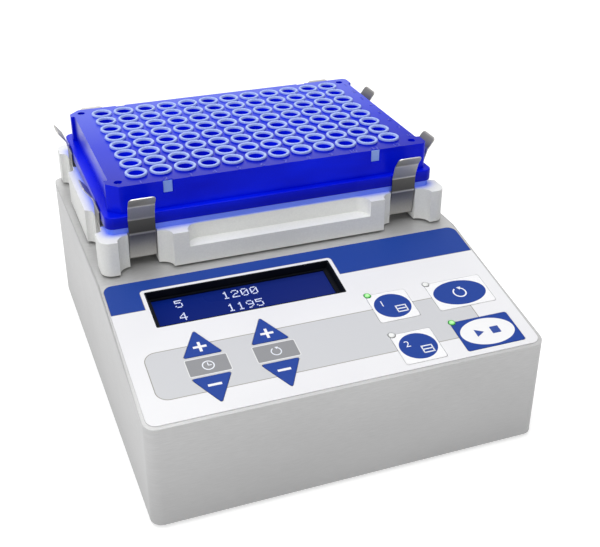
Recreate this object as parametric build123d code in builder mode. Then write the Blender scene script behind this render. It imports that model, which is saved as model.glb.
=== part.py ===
from build123d import *
from math import atan2, cos, pi, sin, tan
import os

# Orbital shaker for microplates. X runs to the right, Y to the rear and Z up;
# the origin is under the middle of the whole part, at the underside of the feet.

# Case
case_width = 140.4
case_depth = 166.0
case_height = 51.75
front_height = 38.2
panel_run = 68.9
case_wall = 3.0
case_corner = 4.0
edge_break = 0.6
foot_height = 1.5
foot_radius = 5.5
foot_inset = 17.0
base_thickness = 2.0
base_gap = 0.4
boss_size = 10.0
boss_height = 14.0

# Microplate, on the standard 127.76 x 85.48 mm footprint
plate_length = 127.76
plate_width = 85.48
plate_height = 16.1
plate_wall = 1.5
plate_deck = 1.2
plate_flange = 4.6
plate_corner = 3.2
plate_to_front = 120.0
body_length = 123.4
body_width = 80.8
body_chamfer = 4.0
body_corner = 2.0
side_recess_depth = 1.5
side_recess_length = 67.0
well_pitch = 9.0
well_columns = 12
well_rows = 8
well_sides = 8
tube_sides = 6
rim_radius = 4.05
rim_height = 1.0
well_radius = 2.8
well_wall = 1.1
well_floor = 1.0
well_lift = 0.8
corner_hole_radius = 1.5
corner_hole_x = 57.1
corner_hole_y = 36.2
window_width = 3.7
window_height = 4.9
window_depth = 0.8
window_x = 40.2

# Plate holder
holder_gap = 0.85
holder_length = 134.6
holder_width = 96.4
holder_height = 13.0
holder_corner = 4.0
seat_height = 2.2
seat_inset = 0.8
seat_corner = 2.6
tray_length = 108.0
tray_width = 68.0
tray_depth = 4.0
grip_length = 71.0
grip_depth = 6.0
grip_rise = 6.9
grip_corner = 5.0

# Spring clips: a strip bent out of sheet, given in steps outwards and upwards
clip_width = 9.7
clip_thickness = 0.4
clip_gap = 0.15
clip_foot = 7.0
clip_foot_rise = 2.4
clip_lean = 1.45
clip_stem = 10.3
clip_press = 5.9
clip_flare_out = 1.85
clip_flare_rise = 5.6
clip_tip_out = 3.0
clip_tip_rise = 4.1
clip_corner = 1.2
clip_long_x = 51.2
clip_short_y = 28.5
clip_side_gap = 0.45
clip_swing_gap = 0.55
notch_width = 19.7
notch_radius = 4.7
notch_gap = 0.1
slot_depth = 2.75

# Shaking table and its drive
orbit_radius = 1.0
table_length = 106.0
table_width = 63.0
table_thickness = 6.7
table_lift = 0.15
table_fit = 0.3
shaft_radius = 4.0
bearing_radius = 11.0
bearing_height = 5.0
bearing_step = 0.5
hub_radius = 6.5
hub_lift = 0.5
hub_height = 3.0
hub_opening = 9.0
idler_x = 42.0
idler_y = 20.0
idler_pin = 2.5
idler_bearing = 5.5
idler_web = 6.5
idler_opening = 8.5
pin_gap = 0.25
running_fit = 0.03
seat_fit = 0.05
chassis_length = 124.0
chassis_width = 86.0
chassis_thickness = 5.0
cradle_length = 60.0
cradle_width = 52.0
cradle_wall = 4.0
cradle_drop = 15.0
cradle_floor = 5.0
weight_radius = 21.0
weight_height = 7.0
weight_hub = 8.0
weight_lift = 3.0
motor_size = 50.0
motor_height = 18.0
motor_wall = 3.0
rotor_radius = 18.0
rotor_height = 10.0
rotor_gap = 1.0

# Fasteners, and the number of flat sides that round pieces are drawn with
round_sides = 12
screw_sides = 6
screw_radius = 1.5
screw_head = 2.8
screw_head_height = 1.5
screw_gap = 0.2
screw_bite = 5.0

# Panel: x across, and rows as distances down the slope from the bend
membrane_width = 138.0
membrane_top = 1.8
membrane_bottom = 68.8
membrane_corner = 3.3
membrane_thickness = 0.6
membrane_recess = 0.4
membrane_gap = 0.05
display_x = -21.0
display_row = 17.5
display_width = 69.2
display_height = 18.6
glass_width = 65.0
glass_height = 16.0
glass_edge = 1.5
frame_width = 77.0
frame_height = 26.5
frame_depth = 7.0
frame_lip = 0.6
board_thickness = 1.6
display_board_width = 78.0
display_board_height = 36.0
time_x = -44.3
mix_x = -20.9
preset_x = 26.5
wide_x = 53.1
arrow_half_width = 6.7
arrow_height = 12.0
up_row = 43.4
down_row = 53.1
upper_row = 38.1
lower_row = 59.2
preset_width = 15.2
wide_width = 22.3
button_height = 14.5
key_gap = 0.15
key_thickness = 0.3
key_travel = 0.35
key_rest = 0.05
key_stem = 3.2
key_stem_gap = 0.4
key_stem_drop = 4.2
switch_size = 6.0
switch_body = 3.5
plunger_size = 3.0
plunger_height = 1.5
lamp_radius = 1.35
lamp_sides = 8
lamp_gap = 0.1
lamp_inset = 0.9
keypad_left = -57.0
keypad_right = 66.0
keypad_step_x = 18.3
keypad_step_row = 28.5
keypad_top = 36.0
keypad_bottom = 67.5
spacer_radius = 2.6
spacer_places = [(-53.0, 48.3), (-9.0, 48.3), (9.0, 63.0), (39.0, 48.7), (62.5, 48.7)]

# Boards and sockets inside
main_board_length = 108.0
main_board_width = 52.0
main_board_lift = 4.5
main_board_setback = 14.0
socket_x = 44.0
port_x = 8.0
rear_height = 18.0
socket_size = 11.0
socket_flange = 14.0
socket_bore = 3.2
socket_pin = 1.0
socket_depth = 14.0
port_width = 17.0
port_height = 8.4
port_angle = 80.0
port_flange_width = 31.0
port_flange_height = 12.5
port_depth = 10.0
port_proud = 2.0
port_rim = 0.8
flange_thickness = 1.2

# Levels
case_top = foot_height + case_height
base_top = foot_height + base_thickness
under_top = case_top - case_wall
holder_bottom = case_top + holder_gap
holder_rim = holder_bottom + holder_height
seat_top = holder_rim + seat_height
deck_top = seat_top + plate_height - rim_height
table_bottom = holder_bottom + table_lift
table_top = table_bottom + table_thickness
tray_floor = seat_top - tray_depth
bearing_bottom = table_bottom + bearing_step
pin_top = bearing_bottom + bearing_height - pin_gap
hub_bottom = under_top + hub_lift
hub_top = hub_bottom + hub_height
chassis_bottom = under_top - chassis_thickness
cradle_top = chassis_bottom - cradle_drop
cradle_bottom = cradle_top - cradle_floor
motor_bottom = cradle_bottom - motor_height
rotor_bottom = motor_bottom + motor_wall + rotor_gap
foot_level = holder_bottom + clip_foot_rise
foot_roof = foot_level + clip_thickness / 2 + clip_swing_gap
main_board_level = base_top + main_board_lift

# Levels above the panel's face, negative inwards
membrane_face = membrane_thickness - membrane_recess
key_bottom = key_rest + key_travel - membrane_recess
switch_top = -key_stem_drop - key_travel - key_rest
keypad_level = switch_top - plunger_height - switch_body
frame_level = -case_wall - seat_fit
glass_level = frame_level - frame_lip - seat_fit
display_board_level = frame_level - frame_depth

# Places along Y, with the clips' tips reaching past the rear of the case
clip_reach = clip_gap + clip_thickness + clip_flare_out + clip_tip_out
rear_overhang = plate_width / 2 + clip_reach - (case_depth - plate_to_front)
front_y = -(case_depth + rear_overhang) / 2
rear_y = front_y + case_depth
bend_y = front_y + panel_run
plate_y = front_y + plate_to_front
drive_y = plate_y - orbit_radius
tilt = atan2(case_height - front_height, panel_run)
panel = Plane(origin=(0, bend_y, case_top), x_dir=(1, 0, 0), z_dir=(0, -sin(tilt), cos(tilt)))
rear = Plane(origin=(0, rear_y, rear_height), x_dir=(-1, 0, 0), z_dir=(0, 1, 0))

os.makedirs("parts", exist_ok=True)


def save(piece, name):
    piece.part.label = name
    export_step(piece.part, f"parts/{name}.step")


# An upright bar or hole between two levels
def bar(places, bottom, top, radius, sides=round_sides, mode=Mode.ADD):
    with BuildSketch(Plane.XY.offset(bottom), mode=Mode.PRIVATE) as outline:
        with Locations(*places):
            RegularPolygon(radius, sides)
    extrude(outline.sketch, amount=top - bottom, mode=mode)


# An upright block or pocket between two levels
def block(places, length, width, bottom, top, corner=0, mode=Mode.ADD):
    with BuildSketch(Plane.XY.offset(bottom), mode=Mode.PRIVATE) as outline:
        with Locations(*places):
            if corner:
                RectangleRounded(length, width, corner)
            else:
                Rectangle(length, width)
    extrude(outline.sketch, amount=top - bottom, mode=mode)


# A bearing, as a plain ring whose bore clears a pin of the given radius
def ring(places, bottom, top, outer, pin):
    with BuildSketch(Plane.XY.offset(bottom), mode=Mode.PRIVATE) as outline:
        with Locations(*places):
            RegularPolygon(outer, round_sides)
            RegularPolygon((pin + running_fit) / cos(pi / round_sides), round_sides, mode=Mode.SUBTRACT)
    extrude(outline.sketch, amount=top - bottom)


# Screws whose heads bear at one level, with their tips at another
def screws(places, bearing, tip, radius, head, head_height):
    away = 1 if bearing > tip else -1
    bar(places, min(bearing, tip), max(bearing, tip), radius, screw_sides)
    head_end = bearing + away * head_height
    bar(places, min(bearing, head_end), max(bearing, head_end), head, screw_sides)


# Screw places
boss_inset = case_wall + boss_size / 2
boss_places = [
    (side * (case_width / 2 - boss_inset), y)
    for side in (-1, 1)
    for y in (front_y + boss_inset, rear_y - boss_inset)
]
foot_places = [
    (side * (case_width / 2 - foot_inset), y)
    for side in (-1, 1)
    for y in (front_y + foot_inset, rear_y - foot_inset)
]
holder_places = [(sx * table_length / 4, plate_y + sy * 25) for sx in (-1, 1) for sy in (-1, 1)]
board_places = [
    (sx * (main_board_length / 2 - 5), sy * (main_board_width / 2 - 5))
    for sx in (-1, 1)
    for sy in (-1, 1)
]
idlers = {"left": (-idler_x, drive_y + idler_y), "right": (idler_x, drive_y + idler_y)}
idler_tops = [(x, y + orbit_radius) for x, y in idlers.values()]

# Keys: shape, middle across and the row that the shape is drawn from
keys = {
    "key_time_up": ("up", time_x, up_row),
    "key_time_down": ("down", time_x, down_row),
    "key_mix_up": ("up", mix_x, up_row),
    "key_mix_down": ("down", mix_x, down_row),
    "key_preset_one": ("preset", preset_x, upper_row),
    "key_preset_two": ("preset", preset_x, lower_row),
    "key_short_mix": ("wide", wide_x, upper_row),
    "key_start_stop": ("wide", wide_x, lower_row),
}
key_widths = {"preset": preset_width, "wide": wide_width}


def key_middle(kind, x, row):
    shift = {"up": arrow_height / 3, "down": -arrow_height / 3}.get(kind, 0)
    return (x, shift - row)


def draw_key(kind, x, row, grow=0):
    if kind in key_widths:
        with Locations((x, -row)):
            Rectangle(key_widths[kind] + 2 * grow, button_height + 2 * grow)
        return
    away = 1 if kind == "up" else -1
    slant = atan2(arrow_height, arrow_half_width)
    half = arrow_half_width + grow / tan(slant / 2)
    base = -row - away * grow
    tip = away * (arrow_height + grow / cos(slant)) - row
    Polygon((x - half, base), (x + half, base), (x, tip), align=None)


lamps = {
    name.replace("key", "lamp"): (x - key_widths[kind] / 2 + lamp_inset, button_height / 2 - row)
    for name, (kind, x, row) in keys.items()
    if kind in key_widths
}

# Clips: the place of each on the plate's edge, and the way outwards
half_length = plate_length / 2
half_width = plate_width / 2
clips = {}
for side, way in (("left", -1), ("right", 1)):
    clips[f"clip_front_{side}"] = ((way * clip_long_x, plate_y - half_width), (0, -1))
    clips[f"clip_rear_{side}"] = ((way * clip_long_x, plate_y + half_width), (0, 1))
    clips[f"clip_{side}_front"] = ((way * half_length, plate_y - clip_short_y), (way, 0))
    clips[f"clip_{side}_rear"] = ((way * half_length, plate_y + clip_short_y), (way, 0))

clip_line = clip_gap + clip_thickness / 2
foot_start = clip_line - clip_lean
foot_end = foot_start - clip_foot
clip_face = clip_gap + clip_thickness + notch_gap
slot_back = clip_face - slot_depth


# A place at a clip, so far outwards from the plate's edge
def clip_place(clip, outwards):
    (x, y), (out_x, out_y) = clip
    return (x + out_x * outwards, y + out_y * outwards)


# A pocket at a clip, from one distance outwards to another
def clip_pocket(clip, start, end, width, bottom, top, corner=0):
    sizes = (width, end - start) if clip[1][1] else (end - start, width)
    block([clip_place(clip, (start + end) / 2)], *sizes, bottom, top, corner, Mode.SUBTRACT)

# Case: a wedge-fronted shell, open below
with BuildPart() as case_shell:
    with BuildSketch(Plane.YZ):
        with BuildLine():
            Polyline(
                (front_y, foot_height),
                (front_y, foot_height + front_height),
                (bend_y, case_top),
                (rear_y, case_top),
                (rear_y, foot_height),
                close=True,
            )
        make_face()
    extrude(amount=case_width / 2, both=True)
    offset(amount=-case_wall, openings=case_shell.faces().sort_by(Axis.Z)[0])
    corners = case_shell.edges().filter_by(Axis.Z).sort_by(lambda edge: abs(edge.center().X))[-4:]
    fillet(corners, case_corner)
    lids = case_shell.faces().filter_by(lambda face: face.normal_at().Z > 0.5).sort_by(Axis.Z)[-2:]
    chamfer(lids.edges().filter_by(lambda edge: abs(edge.center().Y - bend_y) > 1), edge_break)
    block(boss_places, boss_size, boss_size, base_top, base_top + boss_height)
    with BuildSketch(panel):
        with Locations((0, -(membrane_top + membrane_bottom) / 2)):
            RectangleRounded(
                membrane_width + 2 * membrane_gap,
                membrane_bottom - membrane_top + 2 * membrane_gap,
                membrane_corner + membrane_gap,
            )
    extrude(amount=-membrane_recess, mode=Mode.SUBTRACT)
    with BuildSketch(panel):
        with Locations((display_x, -display_row)):
            Rectangle(display_width, display_height)
        with Locations(*[key_middle(*key) for key in keys.values()]):
            Rectangle(key_stem + 2 * key_stem_gap, key_stem + 2 * key_stem_gap)
        with Locations(*lamps.values()):
            RegularPolygon(lamp_radius + lamp_gap, lamp_sides)
    extrude(amount=-2 * case_wall, mode=Mode.SUBTRACT)
    bar([(0, drive_y)], under_top, case_top, hub_opening, mode=Mode.SUBTRACT)
    bar(idlers.values(), under_top, case_top, idler_opening, mode=Mode.SUBTRACT)
    with BuildSketch(rear):
        with Locations((-socket_x, 0)):
            Rectangle(socket_size + 2 * seat_fit, socket_size + 2 * seat_fit)
        with Locations((-port_x, 0)):
            Rectangle(port_width + 2 * seat_fit, port_height + 2 * seat_fit)
    extrude(amount=-2 * case_wall, mode=Mode.SUBTRACT)
save(case_shell, "case_shell")

with BuildPart() as base_plate:
    inset = case_wall + base_gap
    block(
        [(0, (front_y + rear_y) / 2)],
        case_width - 2 * inset,
        case_depth - 2 * inset,
        foot_height,
        base_top,
    )
save(base_plate, "base_plate")

with BuildPart() as rubber_feet:
    bar(foot_places, 0, foot_height, foot_radius)
save(rubber_feet, "rubber_feet")

# Printed membrane, let into the sloping face, with windows for the keys, the lamps and the display
with BuildPart() as panel_membrane:
    with BuildSketch(panel.offset(-membrane_recess)):
        with Locations((0, -(membrane_top + membrane_bottom) / 2)):
            RectangleRounded(membrane_width, membrane_bottom - membrane_top, membrane_corner)
        with Locations((display_x, -display_row)):
            Rectangle(display_width, display_height, mode=Mode.SUBTRACT)
        with Locations(*lamps.values()):
            RegularPolygon(lamp_radius + lamp_gap, lamp_sides, mode=Mode.SUBTRACT)
    extrude(amount=membrane_thickness)
    with BuildSketch(panel.offset(membrane_face)):
        for key in keys.values():
            draw_key(*key, grow=key_gap)
    extrude(amount=-membrane_thickness, mode=Mode.SUBTRACT)
save(panel_membrane, "panel_membrane")

for name, key in keys.items():
    with BuildPart() as key_piece:
        with BuildSketch(panel.offset(key_bottom)):
            draw_key(*key)
            if key[0] in key_widths:
                with Locations(lamps[name.replace("key", "lamp")]):
                    RegularPolygon(lamp_radius + lamp_gap, lamp_sides, mode=Mode.SUBTRACT)
        extrude(amount=key_thickness)
        with BuildSketch(panel.offset(key_bottom)):
            with Locations(key_middle(*key)):
                Rectangle(key_stem, key_stem)
        extrude(amount=-key_stem_drop - key_bottom)
    save(key_piece, name)

for name, place in lamps.items():
    with BuildPart() as lamp:
        with BuildSketch(panel.offset(keypad_level)):
            with Locations(place):
                RegularPolygon(lamp_radius, lamp_sides)
        extrude(amount=membrane_face - keypad_level)
    save(lamp, name)

# Display behind its window: a frame whose lip holds the glass, on a board
with BuildPart() as display_frame:
    with BuildSketch(panel.offset(frame_level)):
        with Locations((display_x, -display_row)):
            Rectangle(frame_width, frame_height)
            Rectangle(glass_width, glass_height, mode=Mode.SUBTRACT)
    extrude(amount=-frame_depth)
    with BuildSketch(panel.offset(frame_level - frame_lip)):
        with Locations((display_x, -display_row)):
            Rectangle(glass_width + 2 * glass_edge, glass_height + 2 * glass_edge)
    extrude(amount=frame_lip - frame_depth, mode=Mode.SUBTRACT)
save(display_frame, "display_frame")

with BuildPart() as display_glass:
    with BuildSketch(panel.offset(glass_level)):
        with Locations((display_x, -display_row)):
            Rectangle(
                glass_width + 2 * (glass_edge - seat_fit), glass_height + 2 * (glass_edge - seat_fit)
            )
    extrude(amount=display_board_level - glass_level)
save(display_glass, "display_glass")

with BuildPart() as display_board:
    with BuildSketch(panel.offset(display_board_level)):
        with Locations((display_x, -display_row)):
            Rectangle(display_board_width, display_board_height)
    extrude(amount=-board_thickness)
save(display_board, "display_board")

with BuildPart() as keypad_board:
    with BuildSketch(panel.offset(keypad_level)):
        with BuildLine():
            Polyline(
                (keypad_left, -keypad_top),
                (keypad_step_x, -keypad_top),
                (keypad_step_x, -keypad_step_row),
                (keypad_right, -keypad_step_row),
                (keypad_right, -keypad_bottom),
                (keypad_left, -keypad_bottom),
                close=True,
            )
        make_face()
    extrude(amount=-board_thickness)
save(keypad_board, "keypad_board")

with BuildPart() as key_switches:
    with BuildSketch(panel.offset(keypad_level)):
        with Locations(*[key_middle(*key) for key in keys.values()]):
            Rectangle(switch_size, switch_size)
    extrude(amount=switch_body)
    with BuildSketch(panel.offset(keypad_level + switch_body)):
        with Locations(*[key_middle(*key) for key in keys.values()]):
            Rectangle(plunger_size, plunger_size)
    extrude(amount=plunger_height)
save(key_switches, "key_switches")

with BuildPart() as board_spacers:
    with BuildSketch(panel.offset(keypad_level)):
        with Locations(*[(x, -row) for x, row in spacer_places]):
            RegularPolygon(spacer_radius, screw_sides)
    extrude(amount=-case_wall - keypad_level)
save(board_spacers, "board_spacers")

# Main board on its posts
board_y = front_y + case_wall + main_board_setback + main_board_width / 2
with BuildPart() as main_board:
    block(
        [(0, board_y)],
        main_board_length,
        main_board_width,
        main_board_level,
        main_board_level + board_thickness,
    )
save(main_board, "main_board")

with BuildPart() as board_posts:
    posts = [(x, board_y + y) for x, y in board_places]
    bar(posts, base_top, main_board_level, spacer_radius, screw_sides)
save(board_posts, "board_posts")

with BuildPart() as board_parts:
    parts_level = main_board_level + board_thickness
    block([(-36, board_y - 8)], 14, 14, parts_level, parts_level + 3)
    block([(-6, board_y + 4)], 18, 18, parts_level, parts_level + 1.6)
    block([(34, board_y + 12)], 20, 8, parts_level, parts_level + 8)
    bar([(24, board_y - 12), (38, board_y - 12)], parts_level, parts_level + 9, 4, screw_sides)
save(board_parts, "board_parts")

# Sockets in the rear wall, each with a flange outside
with BuildPart() as power_socket:
    with BuildSketch(rear):
        with Locations((-socket_x, 0)):
            Rectangle(socket_flange, socket_flange)
    extrude(amount=flange_thickness)
    with BuildSketch(rear):
        with Locations((-socket_x, 0)):
            Rectangle(socket_size, socket_size)
    extrude(amount=-socket_depth)
    with BuildSketch(rear.offset(flange_thickness)):
        with Locations((-socket_x, 0)):
            RegularPolygon(socket_bore, round_sides)
            RegularPolygon(socket_pin, screw_sides, mode=Mode.SUBTRACT)
    extrude(amount=-socket_depth + flange_thickness, mode=Mode.SUBTRACT)
save(power_socket, "power_socket")

with BuildPart() as data_port:
    with BuildSketch(rear):
        with Locations((-port_x, 0)):
            Rectangle(port_flange_width, port_flange_height)
    extrude(amount=flange_thickness)
    with BuildSketch(rear):
        with Locations((-port_x, 0)):
            Trapezoid(port_width, port_height, port_angle)
    extrude(amount=port_proud)
    with BuildSketch(rear):
        with Locations((-port_x, 0)):
            Rectangle(port_width, port_height)
    extrude(amount=-port_depth)
    with BuildSketch(rear.offset(port_proud)):
        with Locations((-port_x, 0)):
            Trapezoid(port_width - 2 * port_rim, port_height - 2 * port_rim, port_angle)
    extrude(amount=flange_thickness - port_proud, mode=Mode.SUBTRACT)
save(data_port, "data_port")

# Drive chassis: a bearing plate under the top, with a cradle for the motor below it
with BuildPart() as drive_chassis:
    block([(0, drive_y)], chassis_length, chassis_width, chassis_bottom, under_top)
    block([(0, drive_y)], cradle_length, cradle_width, cradle_bottom, chassis_bottom)
    block(
        [(0, drive_y)],
        cradle_length - 2 * cradle_wall,
        cradle_width,
        cradle_top,
        chassis_bottom,
        mode=Mode.SUBTRACT,
    )
    bore = bearing_radius + seat_fit
    bar([(0, drive_y)], cradle_bottom, under_top, bore, mode=Mode.SUBTRACT)
    bar(idlers.values(), chassis_bottom, under_top, idler_bearing + seat_fit, mode=Mode.SUBTRACT)
save(drive_chassis, "drive_chassis")

with BuildPart() as shaft_bearings:
    ring([(0, drive_y)], under_top - bearing_height, under_top, bearing_radius, shaft_radius)
    ring([(0, drive_y)], cradle_bottom, cradle_bottom + bearing_height, bearing_radius, shaft_radius)
save(shaft_bearings, "shaft_bearings")

with BuildPart() as idler_bearings:
    ring(idlers.values(), under_top - bearing_height, under_top, idler_bearing, idler_pin)
save(idler_bearings, "idler_bearings")

with BuildPart() as motor_housing:
    block([(0, drive_y)], motor_size, motor_size, motor_bottom, cradle_bottom)
    bar(
        [(0, drive_y)],
        motor_bottom + motor_wall,
        cradle_bottom - motor_wall,
        rotor_radius + rotor_gap,
        mode=Mode.SUBTRACT,
    )
    shaft_hole = shaft_radius + rotor_gap
    bar([(0, drive_y)], cradle_bottom - motor_wall, cradle_bottom, shaft_hole, mode=Mode.SUBTRACT)
save(motor_housing, "motor_housing")

with BuildPart() as motor_rotor:
    rotor_top = rotor_bottom + rotor_height
    bar([(0, drive_y)], rotor_bottom, rotor_top, rotor_radius)
    bar([(0, drive_y)], rotor_bottom, rotor_top, shaft_radius + seat_fit, mode=Mode.SUBTRACT)
save(motor_rotor, "motor_rotor")

# Shaft with the eccentric pin that carries the table round its orbit
with BuildPart() as drive_shaft:
    bar([(0, drive_y)], rotor_bottom, hub_bottom, shaft_radius)
    bar([(0, drive_y)], hub_bottom, hub_top, hub_radius)
    bar([(0, plate_y)], hub_top, pin_top, shaft_radius)
save(drive_shaft, "drive_shaft")

# Counterweight, on the side away from the pin
weight_bottom = cradle_top + weight_lift
weight_top = weight_bottom + weight_height
with BuildPart() as counterweight:
    bar([(0, drive_y)], weight_bottom, weight_top, weight_radius)
    half = [(0, drive_y + weight_radius)]
    block(half, 2 * weight_radius, 2 * weight_radius, weight_bottom, weight_top, mode=Mode.SUBTRACT)
    bar([(0, drive_y)], weight_bottom, weight_top, weight_hub)
    bar([(0, drive_y)], weight_bottom, weight_top, shaft_radius + seat_fit, mode=Mode.SUBTRACT)
save(counterweight, "counterweight")

# Idler cranks, with the same throw as the shaft, keep the table from turning
for side, (x, y) in idlers.items():
    with BuildPart() as idler_crank:
        bar([(x, y)], under_top - bearing_height + pin_gap, hub_bottom, idler_pin)
        bar([(x, y)], hub_bottom, hub_top, idler_web, screw_sides)
        bar([(x, y + orbit_radius)], hub_top, pin_top, idler_pin)
    save(idler_crank, f"idler_crank_{side}")

with BuildPart() as shaking_table:
    block([(0, plate_y)], table_length, table_width, table_bottom, table_top)
    pocket_top = bearing_bottom + bearing_height
    bar([(0, plate_y)], table_bottom, pocket_top, bearing_radius + seat_fit, mode=Mode.SUBTRACT)
    bar(idler_tops, table_bottom, pocket_top, idler_bearing + seat_fit, mode=Mode.SUBTRACT)
    bar(
        holder_places,
        table_top - screw_bite,
        table_top,
        screw_radius + seat_fit,
        screw_sides,
        Mode.SUBTRACT,
    )
save(shaking_table, "shaking_table")

with BuildPart() as table_bearings:
    bearing_top = bearing_bottom + bearing_height
    ring([(0, plate_y)], bearing_bottom, bearing_top, bearing_radius, shaft_radius)
    ring(idler_tops, bearing_bottom, bearing_top, idler_bearing, idler_pin)
save(table_bearings, "table_bearings")

# Plate holder: a moulding with a raised seat, scalloped for the clips and cut for fingers
with BuildPart() as plate_holder:
    block([(0, plate_y)], holder_length, holder_width, holder_bottom, holder_rim, holder_corner)
    block(
        [(0, plate_y)],
        plate_length - 2 * seat_inset,
        plate_width - 2 * seat_inset,
        holder_rim,
        seat_top,
        seat_corner,
    )
    block([(0, plate_y)], tray_length, tray_width, tray_floor, seat_top, mode=Mode.SUBTRACT)
    block(
        [(0, plate_y)],
        table_length + 2 * table_fit,
        table_width + 2 * table_fit,
        holder_bottom,
        table_top,
        mode=Mode.SUBTRACT,
    )
    bar(holder_places, table_top, tray_floor, screw_radius + screw_gap, screw_sides, Mode.SUBTRACT)
    for clip in clips.values():
        edge = (holder_width - plate_width) / 2 if clip[1][1] else (holder_length - plate_length) / 2
        corner = min(notch_radius, edge - clip_face)
        clip_pocket(clip, clip_face, edge + corner + 1, notch_width, holder_bottom, holder_rim, corner)
        side_width = clip_width + 2 * clip_side_gap
        clip_pocket(clip, slot_back, clip_face + 1, side_width, holder_bottom, holder_rim)
        clip_pocket(clip, foot_end - clip_swing_gap, slot_back, side_width, holder_bottom, foot_roof)
    for way in (-1, 1):
        block(
            [(0, plate_y + way * holder_width / 2)],
            grip_length,
            2 * grip_depth,
            holder_bottom + grip_rise,
            holder_rim,
            grip_corner,
            Mode.SUBTRACT,
        )
save(plate_holder, "plate_holder")

with BuildPart() as holder_screws:
    screws(
        holder_places,
        tray_floor,
        table_top - screw_bite,
        screw_radius,
        screw_head,
        screw_head_height,
    )
save(holder_screws, "holder_screws")

clip_points = [
    (foot_end, foot_level),
    (foot_start, foot_level),
    (clip_line, foot_level + clip_stem),
    (clip_line, foot_level + clip_stem + clip_press),
    (clip_line + clip_flare_out, foot_level + clip_stem + clip_press + clip_flare_rise),
    (
        clip_line + clip_flare_out + clip_tip_out,
        foot_level + clip_stem + clip_press + clip_flare_rise + clip_tip_rise,
    ),
]
for name, clip in clips.items():
    (x, y), (out_x, out_y) = clip
    with BuildPart() as spring_clip:
        with BuildSketch(Plane(origin=(x, y, 0), x_dir=(out_x, out_y, 0), z_dir=(out_y, -out_x, 0))):
            with BuildLine():
                Polyline(*clip_points)
            trace(line_width=clip_thickness)
        extrude(amount=clip_width / 2, both=True)
        tip = spring_clip.faces().sort_by(Axis.Z)[-1]
        chamfer(tip.edges().sort_by(SortBy.LENGTH)[:2], clip_corner)
    save(spring_clip, name)


# Microplate: skirt and deck in one moulding, with a tapered tube under each raised rim
tube_bottom = seat_top + well_lift
well_bottom = tube_bottom + well_floor
with BuildPart() as microplate:
    with BuildSketch(Plane.XY.offset(seat_top)):
        with Locations((0, plate_y)):
            RectangleRounded(plate_length, plate_width, plate_corner)
    extrude(amount=plate_flange)
    with BuildSketch(Plane.XY.offset(seat_top + plate_flange)):
        with Locations((0, plate_y)):
            Rectangle(body_length, body_width)
    extrude(amount=plate_height - rim_height - plate_flange)
    posts = microplate.edges().filter_by(Axis.Z).filter_by(
        lambda edge: edge.center().Z > seat_top + plate_flange
    )
    chamfer(posts.sort_by(Axis.X)[:2], body_chamfer)
    posts = microplate.edges().filter_by(Axis.Z).filter_by(
        lambda edge: edge.center().Z > seat_top + plate_flange and edge.center().X > 0
    )
    fillet(posts, body_corner)
    for way in (-1, 1):
        block(
            [(way * body_length / 2, plate_y)],
            2 * side_recess_depth,
            side_recess_length,
            seat_top + plate_flange,
            deck_top,
            mode=Mode.SUBTRACT,
        )
        for x in (-window_x, window_x):
            block(
                [(x, plate_y + way * body_width / 2)],
                window_width,
                2 * window_depth,
                deck_top - window_height,
                deck_top,
                mode=Mode.SUBTRACT,
            )
    inner_length = body_length - 2 * (side_recess_depth + plate_wall)
    inner_width = body_width - 2 * plate_wall
    block([(0, plate_y)], inner_length, inner_width, seat_top, deck_top - plate_deck, mode=Mode.SUBTRACT)
    corners = [(sx * corner_hole_x, plate_y + sy * corner_hole_y) for sx in (-1, 1) for sy in (-1, 1)]
    bar(corners, deck_top - plate_deck, deck_top, corner_hole_radius, well_sides, Mode.SUBTRACT)
    with BuildSketch(Plane.XY.offset(deck_top - plate_deck)):
        with Locations((0, plate_y)):
            with GridLocations(well_pitch, well_pitch, well_columns, well_rows):
                RegularPolygon(well_radius + well_wall, tube_sides)
    extrude(amount=tube_bottom - deck_top + plate_deck)
    with BuildSketch(Plane.XY.offset(deck_top)):
        with Locations((0, plate_y)):
            with GridLocations(well_pitch, well_pitch, well_columns, well_rows):
                RegularPolygon(rim_radius, well_sides)
    extrude(amount=rim_height)
    with BuildSketch(Plane.XY.offset(deck_top + rim_height)):
        with Locations((0, plate_y)):
            with GridLocations(well_pitch, well_pitch, well_columns, well_rows):
                RegularPolygon(well_radius, well_sides)
    extrude(amount=well_bottom - deck_top - rim_height, mode=Mode.SUBTRACT)
save(microplate, "microplate")
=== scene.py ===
from math import atan2, cos, pi, radians, sin, sqrt, tan

import bmesh
import bpy
from mathutils import Matrix, Vector


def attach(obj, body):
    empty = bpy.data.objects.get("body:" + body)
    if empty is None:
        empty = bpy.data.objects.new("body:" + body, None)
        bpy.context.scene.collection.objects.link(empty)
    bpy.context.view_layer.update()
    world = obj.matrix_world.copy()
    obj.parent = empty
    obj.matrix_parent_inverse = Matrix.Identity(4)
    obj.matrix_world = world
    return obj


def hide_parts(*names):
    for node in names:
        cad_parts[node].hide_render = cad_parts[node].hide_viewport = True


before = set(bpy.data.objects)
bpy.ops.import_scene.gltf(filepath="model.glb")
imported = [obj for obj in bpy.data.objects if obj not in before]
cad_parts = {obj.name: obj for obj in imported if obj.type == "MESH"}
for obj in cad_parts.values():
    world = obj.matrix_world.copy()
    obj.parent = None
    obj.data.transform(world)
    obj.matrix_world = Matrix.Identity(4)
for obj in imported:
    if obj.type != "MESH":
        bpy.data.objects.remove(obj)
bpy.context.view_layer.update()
scene = bpy.context.scene
scene.view_settings.view_transform = "Standard"

# The case as its source has it, in millimetres, which every piece below is drawn in
case = {
    "width": 140.4,
    "front": -84.07,
    "rear": 81.93,
    "bend": -15.17,
    "top": 53.25,
    "foot": 1.5,
    "tilt": atan2(13.55, 68.9),
    "wall": 3.0,
    "corner": 4.0,
    "edge": 0.75,
}
plateY = 35.93


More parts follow.
